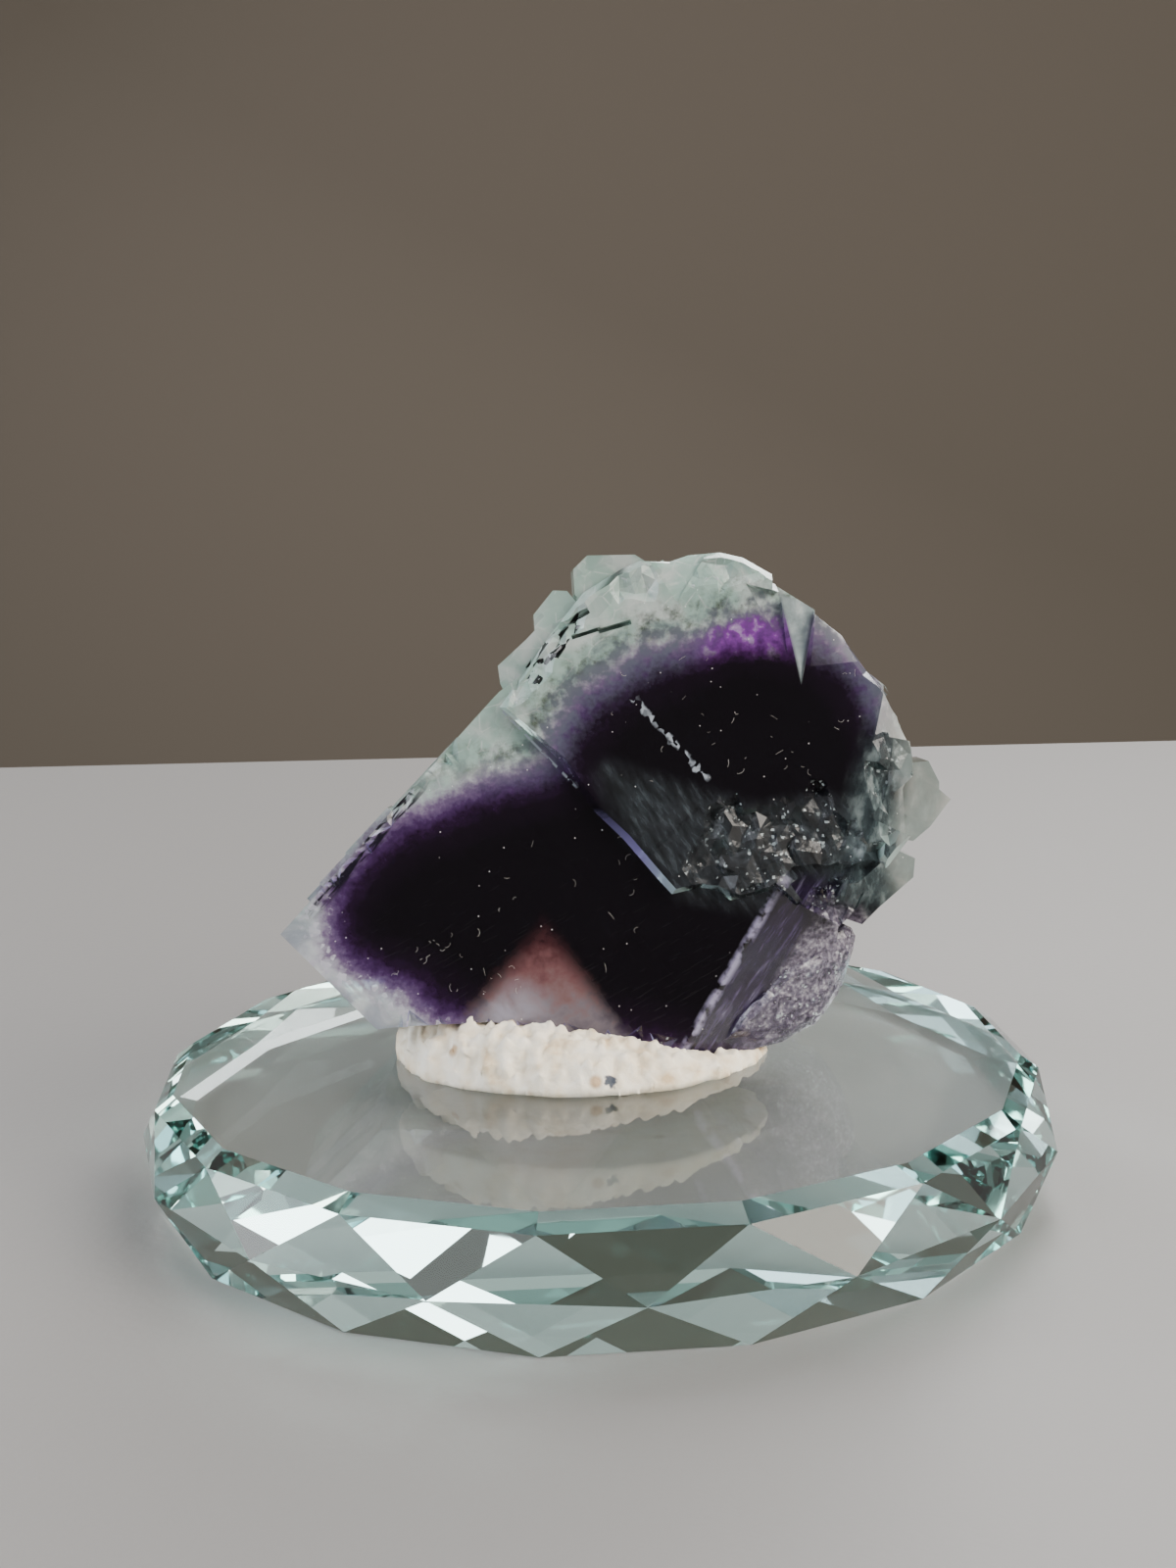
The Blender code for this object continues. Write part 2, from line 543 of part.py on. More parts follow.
def putty_pad(crystals):
    """The pressed lump of putty, hollowed where the crystals sit in it."""
    around = 96
    floor = TABLE_HEIGHT + GAP
    points = []
    for shrink, lift in PUTTY_SECTION:
        for step in range(around):
            angle = math.tau * step / around
            right, back = math.cos(angle), math.sin(angle)
            deep = PUTTY_BACK if back > 0.0 else PUTTY_FRONT
            fold = noise.noise(Vector((right * 4.0, back * 4.0, lift * 1.2))) * 1.1
            fold += noise.noise(Vector((right * 13.0, back * 13.0, lift * 2.5 + 5.0))) * 0.9
            swell = shrink * (1.0 + 0.055 * fold * (0.45 + min(lift * 1.6, 0.7)))
            x = PUTTY_HALF_WIDTH * right * swell + PUTTY_MIDDLE.x
            y = deep * back * swell + PUTTY_MIDDLE.y
            crest = 1.0 + 0.12 * noise.noise(Vector((right * 9.0, back * 9.0, 3.0))) * lift
            height = lift * crest * (putty_height(x / MM) * MM - GAP)
            points.append(Vector((x, y, floor + height)))
    rows = len(PUTTY_SECTION)
    faces = [[around - 1 - step for step in range(around)]]
    faces.append([(rows - 1) * around + step for step in range(around)])
    for row in range(rows - 1):
        for step in range(around):
            after = (step + 1) % around
            low, high = row * around, (row + 1) * around
            faces.append([low + step, low + after, high + after, high + step])
    pad = solid("putty_pad", points, faces)
    seat = bpy.data.objects.new("seat", crystals.data.copy())
    seat.matrix_world = crystals.matrix_world.copy()
    bpy.context.scene.collection.objects.link(seat)
    grown = bmesh.new()
    grown.from_mesh(seat.data)
    grown.normal_update()
    moves = [vertex.normal * SEAT_CLEARANCE for vertex in grown.verts]
    for vertex, move in zip(grown.verts, moves):
        vertex.co += move
    grown.to_mesh(seat.data)
    grown.free()
    combine(pad, seat, "DIFFERENCE", crossing=True)
    keep_main_piece(pad)
    pad.data.materials.clear()
    pad.data.materials.append(finish("white_putty", (0.86, 0.81, 0.72), 0.75))
    return pad


def main():
    """Build the three pieces."""
    clear_scene()
    glass_disc()
    crystals = fluorite_crystals()
    bpy.context.view_layer.update()
    putty_pad(crystals)


main()
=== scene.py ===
"""Dresses a fluorite specimen that stands in putty on a faceted glass disc.

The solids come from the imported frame. The crystals are refined from their solid and painted by
where a point lies in them, the putty is wrinkled, and the glass keeps its solid. Metres, +Z up.
"""
from __future__ import annotations

import json
import logging
import math
import random
from dataclasses import dataclass
from enum import Enum
from functools import partial

import bmesh
import bpy
from mathutils import Matrix, Vector, noise
from mathutils.bvhtree import BVHTree

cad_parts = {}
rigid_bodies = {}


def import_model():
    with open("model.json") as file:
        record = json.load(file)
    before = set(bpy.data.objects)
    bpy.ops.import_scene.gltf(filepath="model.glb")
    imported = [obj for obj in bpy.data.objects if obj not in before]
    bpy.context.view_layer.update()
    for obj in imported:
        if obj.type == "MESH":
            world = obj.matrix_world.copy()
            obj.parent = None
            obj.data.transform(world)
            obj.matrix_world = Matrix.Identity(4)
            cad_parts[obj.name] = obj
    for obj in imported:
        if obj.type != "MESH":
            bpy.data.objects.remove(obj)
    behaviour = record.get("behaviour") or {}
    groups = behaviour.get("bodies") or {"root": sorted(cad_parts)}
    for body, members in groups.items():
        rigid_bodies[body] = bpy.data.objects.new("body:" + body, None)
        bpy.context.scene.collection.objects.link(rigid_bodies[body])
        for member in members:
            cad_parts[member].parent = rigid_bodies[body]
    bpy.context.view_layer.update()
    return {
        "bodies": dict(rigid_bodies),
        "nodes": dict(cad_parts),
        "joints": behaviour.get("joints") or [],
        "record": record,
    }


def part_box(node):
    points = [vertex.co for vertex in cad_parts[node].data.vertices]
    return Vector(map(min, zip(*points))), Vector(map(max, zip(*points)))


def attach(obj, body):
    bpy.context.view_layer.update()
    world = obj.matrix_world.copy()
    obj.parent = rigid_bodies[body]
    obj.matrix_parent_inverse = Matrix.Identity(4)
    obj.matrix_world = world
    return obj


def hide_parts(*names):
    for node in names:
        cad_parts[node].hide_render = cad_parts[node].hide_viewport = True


MM = 0.001
WELD = 0.002 * MM
# How far the dressed putty stays off the glass
SKIN = 0.02 * MM
BODY = "root"

# The middle of the specimen, which the lights look at
LIT_SPOT = Vector((0.0, 0.0, 0.03))

# The crystals' big front face: its foot in the world, and how far it leans back
FACE_FOOT = Vector((0.0, -9.0, 18.7)) * MM
FACE_LEAN = math.radians(8.0)

log = logging.getLogger("specimen")

Socket = bpy.types.NodeSocket
# A colour that is built by nodes, or an sRGB hex colour
Tone = Socket | str


class Blend(Enum):
    """How a field's share rises between its two ends."""

    STRAIGHT = "LINEAR"
    SMOOTH = "SMOOTHSTEP"


class Cells(Enum):
    """The shape of a cell pattern's cells."""

    ROUND = "EUCLIDEAN"
    DIAMOND = "MANHATTAN"
    SQUARE = "CHEBYCHEV"


def linear(hex_colour: str) -> tuple[float, float, float, float]:
    """Turn an sRGB hex colour to linear light.

    Args:
        hex_colour: Six hex digits after a hash.

    Returns:
        Red, green, blue and an alpha of one.
    """
    digits = hex_colour.lstrip("#")
    values = [int(digits[step:step + 2], 16) / 255.0 for step in (0, 2, 4)]
    red, green, blue = (
        value / 12.92 if value <= 0.04045 else ((value + 0.055) / 1.055) ** 2.4
        for value in values
    )
    return red, green, blue, 1.0


def add_node(tree: bpy.types.NodeTree, kind: str, inputs: dict | None = None,
             out: int | str = 0, stops: list[tuple[float, str]] | None = None,
             **settings: object) -> Socket:
    """Add a node, set it up, link it and give back one of its outputs.

    Args:
        tree: The node tree.
        kind: The node's type name without its ShaderNode.
        inputs: Values, hex colours or sockets by input name or number.
        out: The output to give back.
        stops: Places and hex colours of a colour ramp.
        **settings: Properties of the node.

    Returns:
        The chosen output, or the first input of a node that has no output.
    """
    node = tree.nodes.new("ShaderNode" + kind)
    for name, value in settings.items():
        setattr(node, name, value.value if isinstance(value, Enum) else value)
    for name, value in (inputs or {}).items():
        if isinstance(value, Socket):
            tree.links.new(value, node.inputs[name])
        else:
            node.inputs[name].default_value = linear(value) if isinstance(value, str) else value
    if stops:
        elements = node.color_ramp.elements
        while len(elements) < len(stops):
            elements.new(0.5)
        for element, (place, colour) in zip(elements, stops):
            element.position = place
            element.color = linear(colour)
    return node.outputs[out] if len(node.outputs) else node.inputs[0]


def new_material(name: str) -> tuple[bpy.types.Material, partial]:
    """Make an empty node material.

    Args:
        name: The material's name.

    Returns:
        The material, and add_node for its tree.
    """
    material = bpy.data.materials.new(name)
    material.use_nodes = True
    material.node_tree.nodes.clear()
    return material, partial(add_node, material.node_tree)


def face_place(u: float, v: float, w: float) -> Vector:
    """Give the world place of millimetres on the front face: right, up and out of it."""
    return Matrix.Rotation(-FACE_LEAN, 3, "X") @ Vector((u, -w, v)) * MM + FACE_FOOT


@dataclass(frozen=True)
class ColourZone:
    """A convex zone on the front face, as a prism that runs through the crystals.

    The outline is in millimetres on the face and runs anticlockwise.
    """

    outline: tuple[tuple[float, float], ...]
    rounding: float = 1.6

    def depth(self, node: partial, place: Socket) -> Socket:
        """Build the field of millimetres inside the zone, negative outside it.

        Args:
            node: Adds a node to the material's tree.
            place: The point in millimetres on the front face.

        Returns:
            The depth socket.
        """
        field = None
        for start, end in zip(self.outline, self.outline[1:] + self.outline[:1]):
            run = Vector((end[0] - start[0], end[1] - start[1])).normalized()
            along = node("VectorMath", {0: place, 1: (-run.y, run.x, 0.0)}, "Value",
                         operation="DOT_PRODUCT")
            inside = node("Math", {0: along, 1: run.x * start[1] - run.y * start[0]},
                          operation="SUBTRACT")
            field = inside if field is None else node(
                "Math", {0: field, 1: inside, 2: self.rounding}, operation="SMOOTH_MIN")
        return field


@dataclass(frozen=True)
class FaceLine:
    """A straight line on the front face, from one point in millimetres to another."""

    start: tuple[float, float]
    end: tuple[float, float]

    def distances(self, node: partial, place: Socket) -> tuple[Socket, Socket]:
        """Build the fields of millimetres to the line's right and along it.

        Args:
            node: Adds a node to the material's tree.
            place: The point in millimetres on the front face.

        Returns:
            The distance to the right of the line, and the distance along it.
        """
        run = Vector((self.end[0] - self.start[0], self.end[1] - self.start[1])).normalized()
        fields = []
        for across in (Vector((run.y, -run.x, 0.0)), Vector((run.x, run.y, 0.0))):
            reach = node("VectorMath", {0: place, 1: across}, "Value", operation="DOT_PRODUCT")
            base = across.x * self.start[0] + across.y * self.start[1]
            fields.append(node("Math", {0: reach, 1: base}, operation="SUBTRACT"))
        return fields[0], fields[1]


@dataclass(frozen=True)
class Span:
    """A share that goes from low to high while a field goes from start to end."""

    field: Socket
    start: float
    end: float
    blend: Blend = Blend.STRAIGHT
    low: float = 0.0
    high: float = 1.0


@dataclass(frozen=True)
class Layer:
    """A colour, the share that it covers, and how much light passes there if it changes that."""

    share: Socket
    colour: Tone
    passes: float | None = None


# Zones, lines and points of colour in the crystals
DARK_LOWER = ColourZone(((-27.2, 8.4), (-22.4, 2.0), (-14.0, 0.6), (-8.0, -3.0), (9.0, -6.0),
                         (60.0, -6.0), (60.0, 30.0), (8.0, 30.0), (-2.8, 27.2), (-12.7, 23.6),
                         (-19.0, 21.6), (-24.4, 17.4), (-27.4, 13.2)))
DARK_UPPER = ColourZone(((-2.6, 25.0), (24.0, 8.0), (30.4, 20.0), (31.6, 29.0), (29.2, 34.0),
                         (26.6, 37.4), (22.8, 40.2), (16.8, 40.6), (10.2, 38.8), (4.1, 36.4),
                         (-0.4, 33.0), (-3.2, 30.0)))
SMOKE = ColourZone(((3.6, 19.4), (9.6, 12.6), (24.0, 9.6), (31.4, 15.4), (30.4, 21.8),
                    (25.3, 23.4), (19.5, 23.0)), 1.0)
SMOKE_LEFT = ColourZone(((3.6, 19.4), (9.6, 12.6), (20.0, 12.0), (18.0, 22.2), (1.6, 27.4),
                         (0.4, 26.0)), 1.0)
PHANTOM = ColourZone(((-16.6, -2.5), (5.2, -4.5), (-5.2, 11.0)), 0.9)
RIGHT_VEIL = ColourZone(((25.2, 13.0), (37.0, 10.0), (37.0, 32.0), (31.0, 33.0), (28.6, 24.0)), 2.0)
RIDGE = FaceLine((8.9, -3.6), (19.5, 13.6))
CHIP = ColourZone(((22.2, 35.2), (23.9, 43.4), (20.2, 44.6)), 0.2)
EDGE_LEFT = FaceLine((-33.1, 9.9), (-9.9, 34.3))
VEIN = FaceLine((3.6, 35.2), (12.4, 25.0))
HEALED_CRACK = FaceLine((-9.8, 33.7), (9.6, 12.8))
RIM_TOP_LEFT = FaceLine((-9.0, 33.8), (0.0, 45.0))
SHOULDER_CRACK = FaceLine((-6.4, 35.8), (-1.0, 43.2))
FLAME_HEART = (17.0, 41.0, 1.0)
WISP_HEART = (-8.6, 0.4, 0.0)
LOBE_HEART = (21.6, 1.6, -5.0)


class CleavedFluorite:
    """Fluorite, a clear soft mineral, cleaved and broken: deep purple zones in a pale green rim.

    The cleaved face is glassy and takes a sharp reflection, the broken patches glitter with painted
    glints, and the rim lets light through with a cloudy green tint. Highlights on a ridge and a
    step, light through the purple at the top and at the foot, and shade in the rim's slits are
    painted too.
    Each look gives the layers that it lays over what is there. A span's ends are millimetres where
    its field is a place or a depth on the front face, and shades from 0 to 1 where it is a noise.
    """

    rim_green: str = "#C0DDD2"
    rim_white: str = "#F2F7F5"
    rim_olive: str = "#6C7666"
    # Black of the cracks, and the painted shade in the rim's slits
    crack_and_shade_black: str = "#0B0D0F"
    ior: float = 1.434
    # Grain sizes in millimetres; the real dust is finer, and drawn this coarse so that it shows
    cloud_mm: float = 7.0
    mottle_mm: float = 1.3
    grain_mm: float = 0.45
    crumb_mm: float = 0.55
    dust_mm: float = 1.3
    glint_flake_mm: float = 0.28
    # How far clouds, mottle and grain move the edge of the purple
    edge_reach_mm: tuple[float, ...] = (3.0, 2.2, 1.4)
    # How far the cube edges are turned on the front face
    cleavage_turn: float = 0.794

    def __init__(self) -> None:
        """Make the material and the fields that its looks share."""
        self.result, node = new_material("cleaved_fluorite")
        self.node = node
        self.place = self.face_point()
        self.right = node("SeparateXYZ", {0: self.place})
        self.up, self.out = self.right.node.outputs[1:3]
        self.rough = node("Attribute", out="Fac", attribute_name="broken")
        normal = node("TexCoord", out="Normal")
        ahead = (0.0, -math.cos(FACE_LEAN), math.sin(FACE_LEAN))
        self.facing = node("VectorMath", {0: normal, 1: ahead}, "Value", operation="DOT_PRODUCT")
        self.broad, self.mottle, self.grain = (
            node("TexNoise", {"Vector": self.place, "Scale": 1.0 / size, "Detail": detail})
            for size, detail in ((self.cloud_mm, 2.0), (self.mottle_mm, 4.0), (self.grain_mm, 2.0)))
        # White veils about 4 mm across
        self.veils = node("TexNoise", {"Vector": self.place, "Scale": 0.24, "Detail": 5.0,
                                       "Distortion": 0.5})
        self.squared = node("Mapping", {0: self.place, "Rotation": (0.0, 0.0, self.cleavage_turn),
                                        "Scale": (2.8, 2.0, 2.4)}, vector_type="TEXTURE")
        self.crumb = self.cell_shade(self.place, 1.0 / self.crumb_mm, Cells.ROUND)
        self.front_dark, self.dark = self.darkness()
        self.smoke_depth = node("Math", {
            0: SMOKE.depth(node, self.place), 1: SMOKE_LEFT.depth(node, self.place), 2: 0.8},
            operation="SMOOTH_MAX")
        self.veil = self.where_all(Span(self.veils, 0.40, 0.72, Blend.SMOOTH))
        self.uneven = self.where_all(Span(self.broad, 0.36, 0.62, low=0.2, high=0.85))
        self.high = self.where_all(Span(self.up, 22.0, 30.0, Blend.SMOOTH))
        self.low = self.where_all(Span(self.up, 20.0, 8.0, Blend.SMOOTH))
        self.front = self.where_all(Span(self.out, -3.5, -1.0, Blend.SMOOTH))
        self.rear = self.where_all(Span(self.out, -9.0, -13.0, Blend.SMOOTH))

    def face_point(self) -> Socket:
        """Build the point in millimetres on the front face.

        Returns:
            Its socket: right, up and out.
        """
        node = self.node
        world = node("TexCoord", out="Object")
        moved = node("VectorMath", {0: world, 1: FACE_FOOT}, operation="SUBTRACT")
        scaled = node("VectorMath", {0: moved, "Scale": 1.0 / MM}, operation="SCALE")
        lean, rise = math.sin(FACE_LEAN), math.cos(FACE_LEAN)
        up, out = (node("VectorMath", {0: scaled, 1: way}, "Value", operation="DOT_PRODUCT")
                   for way in ((0.0, lean, rise), (0.0, -rise, lean)))
        right = node("SeparateXYZ", {0: scaled})
        return node("CombineXYZ", {0: right, 1: up, 2: out})

    def darkness(self) -> tuple[Socket, Socket]:
        """Build the depth in the purple zones, with a cloudy and grainy edge.

        Returns:
            The depth in millimetres, negative in the rim, and the same where it ends at the back.
        """
        node = self.node
        dark = node("Math", {0: DARK_LOWER.depth(node, self.place),
                             1: DARK_UPPER.depth(node, self.place), 2: 1.5}, operation="SMOOTH_MAX")
        for field, reach in zip((self.broad, self.mottle, self.grain), self.edge_reach_mm):
            shift = node("Math", {0: field, 1: reach, 2: -0.5 * reach}, operation="MULTIPLY_ADD")
            dark = node("Math", {0: dark, 1: shift})
        behind = self.where_all(Span(self.out, -21.0, -13.0, low=-7.6, high=12.0))
        return dark, node("Math", {0: dark, 1: behind, 2: 2.0}, operation="SMOOTH_MIN")

    def where_all(self, *shares: Span | Socket) -> Socket:
        """Join shares, so that what they stand for shows only where all of them hold.

        Args:
            *shares: Spans of fields, and shares that are built already.

        Returns:
            Their product.
        """
        joined = None
        for share in shares:
            if isinstance(share, Span):
                share = self.node("MapRange", {0: share.field, 1: share.start, 2: share.end,
                                               3: share.low, 4: share.high},
                                  interpolation_type=share.blend)
            joined = share if joined is None else self.node(
                "Math", {0: joined, 1: share}, operation="MULTIPLY")
        return joined

    def near(self, heart: tuple[float, ...], far: float, close: float) -> Span:
        """Give the span from far to close around a point on the front face, in millimetres."""
        reach = self.node("VectorMath", {0: self.place, 1: heart}, "Value", operation="DISTANCE")
        return Span(reach, far, close, Blend.SMOOTH)

    def streaks(self, turn: float, size_mm: tuple[float, ...], detail: float,
                roughness: float = 0.5) -> Socket:
        """Build noise that is drawn out along one direction on the front face.

        Args:
            turn: The angle that it is turned by, in radians.
            size_mm: How wide, tall and deep its grains are.
            detail: How many finer noises it has.
            roughness: How strong they are.

        Returns:
            The noise.
        """
        turned = self.node("Mapping", {0: self.place, "Rotation": (0.0, 0.0, turn),
                                       "Scale": size_mm}, vector_type="TEXTURE")
        return self.node("TexNoise", {"Vector": turned, "Scale": 1.0, "Detail": detail,
                                      "Roughness": roughness})

    def cell_shade(self, place: Socket, scale: float, shape: Cells, channel: int = 0) -> Socket:
        """Give each cell of an angular pattern a shade of its own, from 0 to 1."""
        tone = self.node("TexVoronoi", {"Vector": place, "Scale": scale}, "Color", distance=shape)
        return self.node("SeparateColor", {0: tone}, channel)

    def painted(self, base: Tone, *layers: Layer) -> Tone:
        """Lay colours over a base colour.

        Args:
            base: The colour below.
            *layers: The layers, the lowest first.

        Returns:
            The colour that shows.
        """
        for layer in layers:
            base = self.node("Mix", {0: layer.share, 6: base, 7: layer.colour}, 2,
                             data_type="RGBA")
        return base

    def rim(self) -> Tone:
        """Colour the pale rim: green glass, white veils and an olive cloud next to the purple.

        Returns:
            The rim's colour.
        """
        node = self.node
        # Cleavage cracks inside the pale layers: angular cells about 2.4 mm wide with bright edges
        chunk = self.cell_shade(self.squared, 1.0, Cells.DIAMOND)
        seams = node("TexVoronoi", {"Vector": self.squared, "Scale": 0.8}, "Distance",
                     feature="DISTANCE_TO_EDGE")
        seam = self.where_all(Span(seams, 0.035, 0.008, high=0.6), Span(self.mottle, 0.44, 0.56))
        # Olive clouds about 2 mm across
        olives = node("TexNoise", {"Vector": self.place, "Scale": 0.55, "Detail": 4.0,
                                   "Roughness": 0.7})
        beside_dark = self.where_all(Span(self.dark, -7.0, -3.6, Blend.SMOOTH), self.high)
        olive = self.where_all(Span(olives, 0.42, 0.68, Blend.SMOOTH), beside_dark)
        lilac_grey = self.painted("#ADB1BF", Layer(self.veil, "#ECEEF2"))
        # Seen from behind, the purple core only glows through the pale outer layers
        glow = self.where_all(Span(self.out, -13.0, -18.0, Blend.SMOOTH),
                              Span(self.front_dark, 0.0, 8.0, Blend.SMOOTH), self.uneven)
        return self.painted(
            self.rim_green,
            Layer(self.veil, self.rim_white),
            Layer(self.where_all(Span(chunk, 0.0, 1.0, high=0.38)), "#8CA8A2"),
            Layer(seam, "#F4F8F6"),
            Layer(olive, self.rim_olive),
            Layer(self.low, lilac_grey),
            Layer(glow, "#6E6488"),
            Layer(self.where_all(self.rear, self.uneven), "#A2D2C4"))

    def purple_zones(self) -> list[Layer]:
        """Colour the dark zones: lilac and violet to almost black, and a flame at the top painted as
        lit through.

        Returns:
            The layers.
        """
        node = self.node
        share = self.where_all(Span(self.dark, -3.0, 5.0))
        purple = node("ValToRGB", {0: share}, stops=[
            (0.0, "#CDCBD2"), (0.12, "#A298AB"), (0.25, "#685376"), (0.37, "#3F2750"),
            (0.50, "#22112A"), (0.66, "#130B16"), (1.0, "#0B080D")])
        edge = self.where_all(Span(self.dark, -3.6, -1.4, Blend.SMOOTH))
        # Grey grains where the upper zone meets the rim
        smudge = self.where_all(Span(self.dark, -5.2, -2.8, Blend.SMOOTH),
                                Span(self.dark, 2.2, -1.2, Blend.SMOOTH),
                                Span(self.mottle, 0.38, 0.58, low=0.15, high=0.85), self.high)
        # Painted light: the flame is a brighter violet where light is painted as shining through the
        # thin purple edge
        flame = self.where_all(self.near(FLAME_HEART, 8.0, 2.5),
                               Span(self.dark, 3.2, 0.2, Blend.SMOOTH),
                               Span(self.dark, -2.2, -0.8, Blend.SMOOTH),
                               Span(self.mottle, 0.36, 0.56, low=0.35))
        lit = node("ValToRGB", {0: self.mottle}, stops=[
            (0.42, "#62267A"), (0.58, "#773A8E"), (0.80, "#BFB0CA")])
        return [Layer(edge, purple), Layer(smudge, "#595F6B"), Layer(flame, lit)]

    def smoke_and_veil(self) -> list[Layer]:
        """Colour the upper crystal's smoky foot and the grey green veil down its right side.

        A break inside the foot shows as grey feathers.

        Returns:
            The layers.
        """
        node = self.node
        smoke = self.where_all(Span(self.smoke_depth, -1.2, 1.8, Blend.SMOOTH), self.front)
        feathers = self.streaks(-1.02, (3.0, 0.8, 2.0), 4.0, 0.65)
        grey = node("ValToRGB", {0: feathers}, stops=[
            (0.36, "#1A1B1D"), (0.50, "#26282C"), (0.62, "#35393E"), (0.82, "#626A6E")])
        depth = RIGHT_VEIL.depth(node, self.place)
        side = self.where_all(Span(depth, -3.0, 1.6, Blend.SMOOTH, high=0.9))
        hanging = self.streaks(1.35, (2.6, 1.3, 1.5), 5.0, 0.6)
        misty = node("ValToRGB", {0: hanging}, stops=[
            (0.36, "#20272C"), (0.52, "#4B585B"), (0.70, "#9CAAAA")])
        return [Layer(smoke, grey, 0.25), Layer(side, misty, 0.45)]

    def phantom(self) -> list[Layer]:
        """Colour the phantom at the foot, an earlier corner of the crystal, with painted red brown
        light that shines through it.

        Returns:
            The layers.
        """
        node = self.node
        soft = node("Math", {0: self.mottle, 1: 1.6, 2: -0.8}, operation="MULTIPLY_ADD")
        ghost = node("Math", {0: PHANTOM.depth(node, self.place), 1: soft})
        height = self.where_all(Span(self.up, -2.0, 10.5))
        wisps = node("Math", {0: self.mottle, 1: 0.7, 2: -0.35}, operation="MULTIPLY_ADD")
        height = node("Math", {0: height, 1: wisps})
        # Painted light: red brown light shining through the crystal, grey lilac low down and darkest
        # at the top
        brown = node("ValToRGB", {0: height}, stops=[
            (0.0, "#5C555F"), (0.22, "#6E666D"), (0.38, "#735C5E"), (0.58, "#6A484A"),
            (0.80, "#4A2B2E"), (1.0, "#230F15")])
        wisp = self.where_all(self.near(WISP_HEART, 5.4, 1.0), self.veil)
        return [Layer(self.where_all(Span(ghost, -0.9, 1.9, Blend.SMOOTH)),
                      self.painted(brown, Layer(wisp, "#9693A0")), 0.12)]

    def torn_side(self) -> list[Layer]:
        """Colour the combed plane that falls away behind a ridge, with a painted highlight along the
        ridge, and the broken lobe with painted glints.

        Returns:
            The layers.
        """
        node = self.node
        across, _ = RIDGE.distances(node, self.place)
        self.comb = self.streaks(0.95, (4.5, 0.6, 2.0), 4.0, 0.65)
        violet = node("ValToRGB", {0: self.comb}, stops=[
            (0.38, "#160F1F"), (0.54, "#2A203A"), (0.66, "#483E5A"), (0.80, "#A3A0B2")])
        below = self.where_all(Span(self.up, 15.5, 13.5))
        self.plane = self.where_all(Span(across, 0.0, 0.5), below, Span(self.out, -0.1, -0.4),
                                    Span(across, 7.0, 5.0, Blend.SMOOTH))
        # Painted highlight: a pale band along the ridge
        ridge_highlight = node("Math", {0: across, 1: 0.15}, operation="SUBTRACT")
        ridge_highlight = node("Math", {0: ridge_highlight}, operation="ABSOLUTE")
        ridge_highlight = self.where_all(Span(ridge_highlight, 0.7, 0.2), below, Span(self.mottle, 0.40, 0.58),
                               self.front)
        # The lobe is violet grey, and its glitter is painted on as pale specks at the top of the
        # ramp
        beyond = self.where_all(Span(across, 4.5, 6.5, Blend.SMOOTH))
        torn = node("Math", {0: self.rough, 1: beyond}, operation="MAXIMUM")
        self.lobe = self.where_all(self.near(LOBE_HEART, 12.5, 9.0), torn)
        coarse = node("Mix", {0: 0.5, 2: self.grain, 3: self.mottle})
        lilac = node("ValToRGB", {0: coarse}, stops=[
            (0.36, "#3D3546"), (0.49, "#71687A"), (0.58, "#A49EAB"), (0.68, "#E6E4EA")])
        foot = self.where_all(Span(self.up, 5.0, -3.0, high=0.5))
        return [Layer(self.plane, violet, 0.2), Layer(ridge_highlight, "#8A84A0"),
                Layer(self.lobe, self.painted(lilac, Layer(foot, "#32234A")), 0.40)]

    def steps_and_blocks(self) -> list[Layer]:
        """Paint a lilac and green highlight on the step at the upper crystal's foot, and colour the
        milky blocks.

        The blocks are behind the rim and at the right.

        Returns:
            The layers.
        """
        node = self.node
        # Painted highlight: the step's side faces, turned a little from the front, painted lit in
        # lilac on the left and green on the right
        step = self.where_all(
            Span(self.facing, 0.8, 0.6), Span(self.out, -0.35, -0.1), Span(self.out, 2.4, 2.2),
            Span(self.up, 22.5, 17.5, high=0.9), Span(self.smoke_depth, 1.3, 0.6))
        rightward = self.where_all(Span(self.right, 5.0, 10.0))
        glow = self.painted("#8C84BE", Layer(rightward, "#B4CFC9"))
        backward = self.where_all(Span(self.out, -6.0, -9.0, Blend.SMOOTH, high=0.85),
                                  Span(self.rear, 0.0, 1.0, low=1.0, high=0.3))
        ragged = node("Math", {0: self.broad, 1: 7.0, 2: self.right}, operation="MULTIPLY_ADD")
        outer = self.where_all(Span(ragged, 32.5, 38.5, Blend.SMOOTH, high=0.85))
        milky = node("Math", {0: backward, 1: outer}, operation="MAXIMUM")
        clear_of_dark = self.where_all(Span(self.dark, -1.5, -3.5))
        clear_of_dark = node("Math", {0: clear_of_dark, 1: outer}, operation="MAXIMUM")
        clouded = self.painted("#ABB8B4", Layer(self.veil, "#E4E5E0"))
        return [Layer(step, glow, 0.3),
                Layer(self.where_all(milky, clear_of_dark), clouded, 0.5)]

    def chip_and_cracks(self) -> list[Layer]:
        """Colour the wedge chipped out beside the flame, the rim's cracks and the left edge, and
        paint shade in the rim's slits.

        Returns:
            The layers.
        """
        node = self.node
        chip = self.where_all(Span(CHIP.depth(node, self.place), -0.1, 0.3))
        chipped = node("ValToRGB", {0: self.veils}, stops=[
            (0.40, "#8B999B"), (0.52, "#ABB8B9"), (0.64, "#DCE3E2")])
        # The crack down the left shoulder is wide, and jagged because it follows the cleavage
        across, along = SHOULDER_CRACK.distances(node, self.place)
        angular = self.cell_shade(self.squared, 1.7, Cells.DIAMOND, 1)
        jag = node("Math", {0: angular, 1: 1.8, 2: -0.9}, operation="MULTIPLY_ADD")
        across = node("Math", {0: across, 1: jag})
        across = node("Math", {0: across}, operation="ABSOLUTE")
        gap = self.where_all(Span(across, 0.42, 0.30), Span(along, 0.0, 0.4),
                             Span(along, 9.4, 9.0), self.front)
